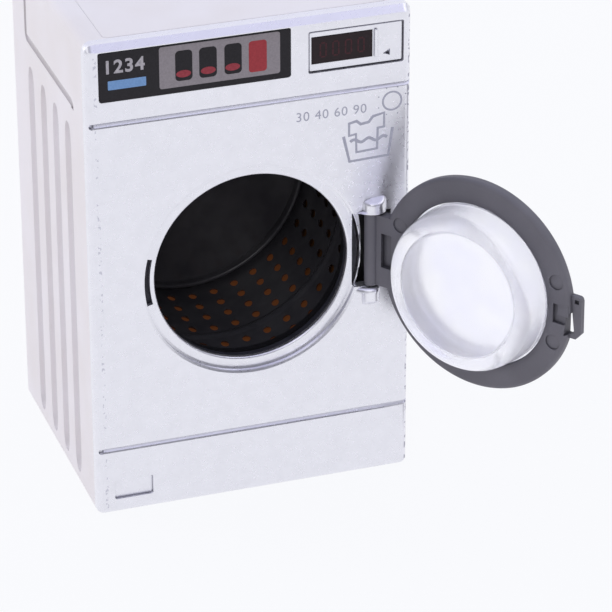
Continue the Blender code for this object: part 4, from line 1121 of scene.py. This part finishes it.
# printed marks on the panel: a row of numbers, a dial ring and a wash tub of our own
marks = {
    "lineWidth": 0.58,
    "numbers": (8.3, 73.35, 1.75, "30 40 60 90"),
    "numberSpacing": 1.1,
    "dial": (26.4, 74.9, 1.75),
    "dialWidth": 0.36,
    "dots": 8,
    "dotReach": 2.75,
    "dotRadius": 0.13,
    "tub": ((17.25, 69.2), (18.4, 64.15), (25.75, 64.4), (26.5, 69.75)),
    "shirt": (
        (18.3, 71.6), (19.7, 71.9), (20.5, 71.2), (22.0, 71.4), (22.8, 72.4), (24.9, 72.8),
        (24.9, 70.1), (23.7, 70.0), (23.6, 66.0), (19.7, 65.8), (19.6, 69.4), (18.3, 69.2),
    ),
    "wave": (18.5, 25.5, 68.0, 0.32, 2.5),  # ends, level, rise and number of waves
}
width = marks["lineWidth"]
left, right, level, rise, waves = marks["wave"]
wave = []
for count in range(25):
    share = count / 24
    height = level + rise * math.sin(share * math.tau * waves)
    wave.append((left + (right - left) * share, height))
x, z, radius = marks["dial"]
prints = [
    inkLine(marks["tub"], width),
    inkLine(marks["shirt"], width, True),
    inkLine(wave, width),
    inkLine(ellipse(x, z, radius, radius, 48), marks["dialWidth"], True),
]
radius = marks["dotRadius"]
for count in range(marks["dots"]):
    turn = math.tau * (count + 0.5) / marks["dots"]
    dotX, dotZ = x + marks["dotReach"] * math.cos(turn), z + marks["dotReach"] * math.sin(turn)
    prints.append(inkPatch(ellipse(dotX, dotZ, radius, radius, 12), frontY - 0.012))
prints.append(numberMesh(*marks["numbers"], frontY - 0.005, marks["numberSpacing"]))
panelPrint = gather("panelPrint", [(0, bm) for bm in prints])
settle(panelPrint, "cabinet", ["slateInk"], (), 30.0)
print("labels ready")

# lining ring behind the opening
lining = {"inner": 18.3, "step": 18.75, "outer": 20.45, "rounding": 0.25, "stepDepth": 0.8}
front, rear = gasketLow.y, gasketHigh.y
inner, rounding = lining["inner"], lining["rounding"]
profile = cornerArc((inner + rounding, front + rounding), rounding, 180, 270, 4)
profile += [(lining["outer"], front), (lining["outer"], rear), (lining["step"], rear)]
profile += [(lining["step"], rear - lining["stepDepth"]), (inner, rear - lining["stepDepth"])]
gasketRing = makeShape("gasketRing", spun(profile, 144))
settle(gasketRing, "cabinet", ["dustyRubber"], ["door_gasket"])

drum = {
    "inner": 24.3,
    "outer": 24.75,
    "rounding": 0.3,
    "rows": (13.8, 9.3, 4.8, 0.2, -6.6, -10.7),
    "columns": 36,
    "phase": 0.3,
    "hole": 0.2,
    "holeOut": 1.55,
    "holeStretch": 1.5,
    "ridgeInner": 22.9,
    "ridgeOuter": 24.0,
    "ridgeFront": 16.7,
    "ridgeCrest": 0.5,
    "band": (-2.9, 1.5, 0.3),  # middle, half length and rise of the plain band
    "backWall": 0.9,
    "axleHole": 1.5,
}
inner, outer, rounding = drum["inner"], drum["outer"], drum["rounding"]
middle, half, rise = drum["band"]
profile = [(outer, drumHigh.y), (outer, drumLow.y)]
profile += cornerArc((inner + rounding, drumLow.y + rounding), rounding, 270, 180, 4)
for count in range(9):
    share = count / 8
    y = middle + half * (2 * share - 1)
    profile.append((inner - rise * math.sin(math.pi * share) ** 2, y))
profile.append((inner, drumHigh.y))
drumWall = makeShape("drumWall", spun(profile, 144))
punches = bmesh.new()
for y in drum["rows"]:
    for column in range(drum["columns"]):
        turn = math.radians(drum["phase"] + 360.0 * column / drum["columns"])
        out = Vector((math.sin(turn), 0.0, -math.cos(turn)))
        middle = Vector((door.x, y / drum["holeStretch"], door.z))
        start, end = middle + out * (inner - past), middle + out * (outer + past)
        rod(drum["hole"], start, end, 14, punches, drum["holeOut"])
bmesh.ops.scale(punches, vec=(1.0, drum["holeStretch"], 1.0), verts=punches.verts)
carve(drumWall, punches)
settle(drumWall, "drum", ["glossBlackAbs"], ["drum_shell"], 30.0)

rear, floor = drumBackHigh.y, drumBackHigh.y - drum["backWall"]
ridgeOut, front, crest = drum["ridgeOuter"], drum["ridgeFront"], drum["ridgeCrest"]
profile = [(outer, rear), (outer, floor), (ridgeOut, floor), (ridgeOut, front + crest)]
profile += cornerArc((ridgeOut - 0.05 - crest, front + crest), crest, 0, -180, 8)
profile += [(drum["ridgeInner"], floor), (drum["axleHole"], floor), (drum["axleHole"], rear)]
drumBackPlate = makeShape("drumBackPlate", spun(profile, 144))
settle(drumBackPlate, "drum", ["glossBlackAbs"], ["drum_back"], 30.0)

axle = {"radius": 1.2, "head": 2.2, "headRounding": 0.45, "dimple": (0.35, 0.15), "chamfer": 0.1}
radius, rounding, chamfer = axle["radius"], axle["headRounding"], axle["chamfer"]
headBack, headFront, rear = floor - air, axleLow.y, axleHigh.y
dimple, dimpleDepth = axle["dimple"]
profile = [(0.0, rear), (radius - chamfer, rear), (radius, rear - chamfer), (radius, headBack)]
profile.append((axle["head"] - chamfer, headBack))
crown = (axle["head"] - rounding, headFront + rounding)
profile += cornerArc(crown, rounding, 0, -90, 6)
profile += [(dimple, headFront), (0.0, headFront + dimpleDepth)]
axlePin = makeShape("axlePin", spun(profile, 48))
settle(axlePin, "drum", ["platedSteel"], ["drum_axle"], 30.0)
print("drum ready")

# hinge pin, turned upright
pin = {"radius": 0.5, "chamfer": 0.1}
radius, chamfer, length = pin["radius"], pin["chamfer"], pinHigh.z - pinLow.z
profile = [(0.0, 0.0), (radius - chamfer, 0.0), (radius, chamfer), (radius, length - chamfer)]
profile += [(radius - chamfer, length), (0.0, length)]
bm = spun(profile, 32, Vector())
stand = Matrix.Translation((hinge.x, hinge.y, pinLow.z)) @ Matrix.Rotation(math.pi / 2, 4, "X")
bmesh.ops.transform(bm, matrix=stand, verts=bm.verts)
hingePin = makeShape("hingePin", bm)
settle(hingePin, "cabinet", ["platedSteel"], ["hinge_pin"])

# door, modelled shut and then swung open to where it rests
doorRing = {
    "radius": 20.25,
    "hole": 15.64,
    "innerFace": 0.37,  # from the hinge line, into the machine
    "thickness": 2.4,
    "rounding": 0.8,
    "holeRounding": 0.2,
    "ledge": 1.1,
    "counterbore": 1.16,
    "barrel": 1.35,
    "foot": -6.48,
    "top": 7.82,
    "armRoot": 5.25,
    "armThickness": 2.0,
    "armPocket": (-4.6, -2.4, 43.0, 49.8),
    "pocketDepth": 1.0,
    "catchDepth": 0.6,
    "catchPocket": (16.9, 19.9, -2.2, 1.5),
    "catchPad": (17.8, 20.0, -0.55, 1.6),
    "bore": (0.8, 30.0, 60.0),  # radius, foot and top of the cut
    "ejectors": ((-16.07, 7.05), (17.4, 5.7), (17.0, -6.2)),
    "ejectorRadius": 1.45,
    "ejectorDepth": 0.28,
    "tab": (
        (18.4, 3.5), (21.5, 3.5), (21.9, 3.3), (22.1, 2.8), (22.15, -3.6), (21.1, -4.85),
        (18.2, -4.9),
    ),
    "tabGap": ((19.2, 0.2), (20.3, 0.2), (20.8, -3.8), (19.2, -4.3)),
    "tabHollow": ((20.7, 2.9), (21.6, 2.9), (21.6, 2.1), (20.7, 2.1)),
    "tabBack": -0.65,
    "tabThickness": 1.05,
    "tabHollowDepth": 0.6,
}
innerY = hinge.y + doorRing["innerFace"]
outerY = innerY - doorRing["thickness"]


# a place on the shut door, from the ring's middle towards its free edge and up
def onDoor(outline):
    return [(door.x - e, door.z + z) for e, z in outline]


def onDoorBlock(box, front, rear):
    near, far, foot, top = box
    return block((door.x - far, front, door.z + foot), (door.x - near, rear, door.z + top))


def swingOpen(shape):
    about = Matrix.Translation((hinge.x, hinge.y, 0.0))
    shape.data.transform(about @ Matrix.Rotation(restAngle, 4, "Z") @ about.inverted())
    return shape


rounding, small, hole = (doorRing[key] for key in ("rounding", "holeRounding", "hole"))
corner = doorRing["radius"] - rounding
seat, seatY = hole + doorRing["counterbore"], innerY - doorRing["ledge"]
profile = cornerArc((corner, innerY - rounding), rounding, 90, 0, 6)
profile += cornerArc((corner, outerY + rounding), rounding, 0, -90, 6)
profile += [(seat, outerY), (seat, seatY), (hole, seatY)]
profile += cornerArc((hole + small, innerY - small), small, 180, 90, 3)
doorFrame = makeShape("doorFrame", spun(profile, 192))
foot, top = door.z + doorRing["foot"], door.z + doorRing["top"]
arm = block(
    (hinge.x - doorRing["armRoot"], innerY - doorRing["armThickness"], foot + 0.1),
    (hinge.x, innerY, top - 0.1),
)
barrel = rod(doorRing["barrel"], (hinge.x, hinge.y, foot), (hinge.x, hinge.y, top), 64)
tabRear = hinge.y + doorRing["tabBack"]
tabFront = tabRear - doorRing["tabThickness"]
weld(doorFrame, arm, barrel, plate(onDoor(doorRing["tab"]), tabFront, tabRear))
tabGap = plate(onDoor(doorRing["tabGap"]), tabFront - past, tabRear + past)
tabFloor = tabRear - doorRing["tabHollowDepth"]
tabHollow = plate(onDoor(doorRing["tabHollow"]), tabFloor, tabRear + past)
left, right, foot, top = doorRing["armPocket"]
pocketFloor = innerY - doorRing["pocketDepth"]
armPocket = block((hinge.x + left, pocketFloor, foot), (hinge.x + right, innerY + past, top))
catchFloor = innerY - doorRing["catchDepth"]
catchPocket = onDoorBlock(doorRing["catchPocket"], catchFloor, innerY + past)
radius, foot, top = doorRing["bore"]
barrelBore = rod(radius, (hinge.x, hinge.y, foot), (hinge.x, hinge.y, top), 32)
radius, start = doorRing["ejectorRadius"], innerY - doorRing["ejectorDepth"]
ejectors = bmesh.new()
for x, z in onDoor(doorRing["ejectors"]):
    deepRod(ejectors, radius, x, z, start, innerY + past, 48)
carve(doorFrame, tabGap, tabHollow, armPocket, catchPocket, barrelBore, ejectors)
weld(doorFrame, onDoorBlock(doorRing["catchPad"], catchFloor - air, innerY - 0.15))
easeEdges(doorFrame, 0.12, 2, 32.0)
swingOpen(doorFrame)
settle(doorFrame, "door", ["sparkedGreyAbs"], ["door_frame"])

# clear window cup
cup = {
    "base": 15.34,
    "draft": 0.35,
    "depth": 6.2,
    "corner": 2.8,
    "wall": 3.2,
    "endWall": 1.1,
    "endRounding": 0.6,
    "flange": 0.7,
}
base, draft, rounding = cup["base"], cup["draft"], cup["endRounding"]
end = innerY + cup["depth"]
flangeFront = seatY - air
flangeRear, flangeRadius = flangeFront - cup["flange"], seat - air
inner, hollowEnd = base - cup["wall"], end - cup["endWall"]
profile = [(0.0, end)]
profile += cornerArc((base - draft - cup["corner"], end - cup["corner"]), cup["corner"], 90, 0, 16)
profile += [(base, innerY), (base, flangeFront), (flangeRadius, flangeFront)]
profile += [(flangeRadius, flangeRear), (inner + draft + air, flangeRear)]
profile += [(inner + draft, flangeRear + air)]
profile += cornerArc((inner - rounding, hollowEnd - rounding), rounding, 0, 90, 6)
profile += [(0.0, hollowEnd)]
doorWindow = makeShape("doorWindow", spun(profile, 192))
swingOpen(doorWindow)
settle(doorWindow, "door", ["clearStyrene"], ["door_window"], 50.0)
print("door ready")

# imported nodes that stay, with better finishes
kept = {"tub": "amberAbs", "axle_bush": "sparkedGreyAbs", "axle_retainer": "platedSteel"}
kept.update({"tub_screw_%d" % number: "platedSteel" for number in range(1, 5)})
for node, finishName in kept.items():
    for materialSlot in frame["nodes"][node].material_slots:
        materialSlot.material = look[finishName]

# floor, light and camera
studio = {
    "floorHalf": 1.6,
    "floorGap": 0.00005,
    "floorPaint": "#FAF6F4",
    "floorGlow": 0.94,
    "ambient": 0.85,
    "ambientDusk": 0.4,
    "horizonTint": "#FFF9F2",
    "zenithTint": "#E8ECFF",
    "backdrop": "#FBFCFF",
    "ceiling": "#E0E0FA",
    "dusk": "#454553",  # the unlit side of the room, which only gloss shows
    "duskShare": 0.92,
    "duskFades": (  # from the floor's edge, up to the lamps, and only ahead of the machine
        ("Z", -0.1, 0.02, 0.0, 1.0),
        ("Z", 0.55, 0.74, 1.0, 0.0),
        ("Y", -0.3, 0.2, 1.0, 0.0),
    ),
    "softboxes": (  # place, size and power
        ((-0.3, -0.85, 0.62), 0.5, 1.2),
        ((0.75, -0.35, 0.8), 0.6, 1.0),
        ((-0.8, 0.5, 0.5), 0.5, 1.2),
    ),
    "aim": (0.0, 0.0, 0.045),
}
dusk, backdrop = hexColour(studio["dusk"]), hexColour(studio["backdrop"])
product = {"operation": "MULTIPLY"}


# mixes a plain shader with a bright one that only cameras, gloss and glass see
def showBackdrop(tree, share, plain, bright, output):
    rays = addNode(tree, "LightPath")
    links = {0: rays["Is Camera Ray"], 1: rays["Is Glossy Ray"]}
    seen = addNode(tree, "Math", {"operation": "MAXIMUM"}, links)["Value"]
    links = {0: seen, 1: rays["Is Transmission Ray"]}
    seen = addNode(tree, "Math", {"operation": "MAXIMUM"}, links)["Value"]
    seen = addNode(tree, "Math", {**product, 1: share}, {0: seen})["Value"]
    mixed = addNode(tree, "MixShader", {}, {0: seen, 1: plain, 2: bright})["Shader"]
    tree.links.new(mixed, tree.nodes[output].inputs["Surface"])


floorPaint = bpy.data.materials.new("paleFloorPaint")
floorPaint.use_nodes = True
tree = floorPaint.node_tree
matt = addNode(tree, "BsdfDiffuse", {"Color": hexColour(studio["floorPaint"])})["BSDF"]
glow = addNode(tree, "Emission", {"Color": backdrop, "Strength": 1.0})["Emission"]
showBackdrop(tree, studio["floorGlow"], matt, glow, "Material Output")

bm = bmesh.new()
bmesh.ops.create_grid(bm, x_segments=1, y_segments=1, size=studio["floorHalf"])
mesh = toMesh("floor", bm)
mesh.transform(Matrix.Translation((0.0, 0.0, -studio["floorGap"])))
mesh.materials.append(floorPaint)
placeObject("floorSheet", mesh)

world = bpy.data.worlds.new("studioAir")
bpy.context.scene.world = world
world.use_nodes = True
tree = world.node_tree
heading = addNode(tree, "TexCoord")["Generated"]
parts = addNode(tree, "SeparateXYZ", {}, {"Vector": heading})
stops = {"stops": [(0.0, studio["horizonTint"]), (0.9, studio["zenithTint"])]}
sky = addNode(tree, "ValToRGB", stops, {"Fac": parts["Z"]})["Color"]
gloom = None
for axis, start, stop, first, last in studio["duskFades"]:
    settings = {"From Min": start, "From Max": stop, "To Min": first, "To Max": last}
    fade = addNode(tree, "MapRange", settings, {"Value": parts[axis]})["Result"]
    if gloom is None:
        gloom = addNode(tree, "Math", {**product, 1: studio["duskShare"]}, {0: fade})["Value"]
    else:
        gloom = addNode(tree, "Math", product, {0: fade, 1: gloom})["Value"]
dim = addNode(tree, "Math", {**product, 1: studio["ambientDusk"]}, {0: gloom})["Value"]
dimSky = addNode(tree, "Mix", {"data_type": "RGBA", 7: dusk}, {0: dim, 6: sky})[2]
plain = tree.nodes["Background"]
plain.inputs["Strength"].default_value = studio["ambient"]
tree.links.new(dimSky, plain.inputs["Color"])

# gloss sees the room: a lavender ceiling, and dusk ahead of the machine
onlyGloss = addNode(tree, "LightPath")["Is Glossy Ray"]
settings = {"From Min": 0.3, "From Max": 0.8, "To Min": 0.0, "To Max": 1.0}
rise = addNode(tree, "MapRange", settings, {"Value": parts["Z"]})["Result"]
rise = addNode(tree, "Math", product, {0: rise, 1: onlyGloss})["Value"]
settings = {"data_type": "RGBA", 6: backdrop, 7: hexColour(studio["ceiling"])}
overhead = addNode(tree, "Mix", settings, {0: rise})[2]
gloom = addNode(tree, "Math", product, {0: gloom, 1: onlyGloss})["Value"]
room = addNode(tree, "Mix", {"data_type": "RGBA", 7: dusk}, {0: gloom, 6: overhead})[2]
bright = addNode(tree, "Background", {"Strength": 1.0}, {"Color": room})["Background"]
showBackdrop(tree, 1.0, plain.outputs["Background"], bright, "World Output")

for number, (place, size, power) in enumerate(studio["softboxes"]):
    lamp = bpy.data.lights.new("softbox%d" % number, "AREA")
    lamp.shape = "SQUARE"
    lamp.size = size
    lamp.energy = power
    holder = placeObject(lamp.name, lamp)
    holder.location = place
    towards = Vector(studio["aim"]) - Vector(place)
    holder.rotation_euler = towards.to_track_quat("-Z", "Y").to_euler()

camera = {
    "place": (-0.18455, -0.60187, 0.35212),
    "yaw": 18.649,
    "pitch": 27.402,
    "roll": 0.138,
    "lens": 222.51,
    "sensor": 36.0,
}
yaw, pitch, roll = (math.radians(camera[key]) for key in ("yaw", "pitch", "roll"))
ahead = Vector((math.sin(yaw) * math.cos(pitch), math.cos(yaw) * math.cos(pitch), -math.sin(pitch)))
levelRight = Vector((math.cos(yaw), -math.sin(yaw), 0.0))
levelDown = ahead.cross(levelRight)
right = math.cos(roll) * levelRight + math.sin(roll) * levelDown
down = -math.sin(roll) * levelRight + math.cos(roll) * levelDown
eye = bpy.data.cameras.new("photoCamera")
eye.lens = camera["lens"]
eye.sensor_width = camera["sensor"]
eyeHolder = placeObject("photoCamera", eye)
turn = Matrix((right, -down, -ahead)).transposed().to_4x4()
eyeHolder.matrix_world = Matrix.Translation(camera["place"]) @ turn
bpy.context.scene.camera = eyeHolder
bpy.context.scene.view_settings.view_transform = "Standard"
print("studio ready")
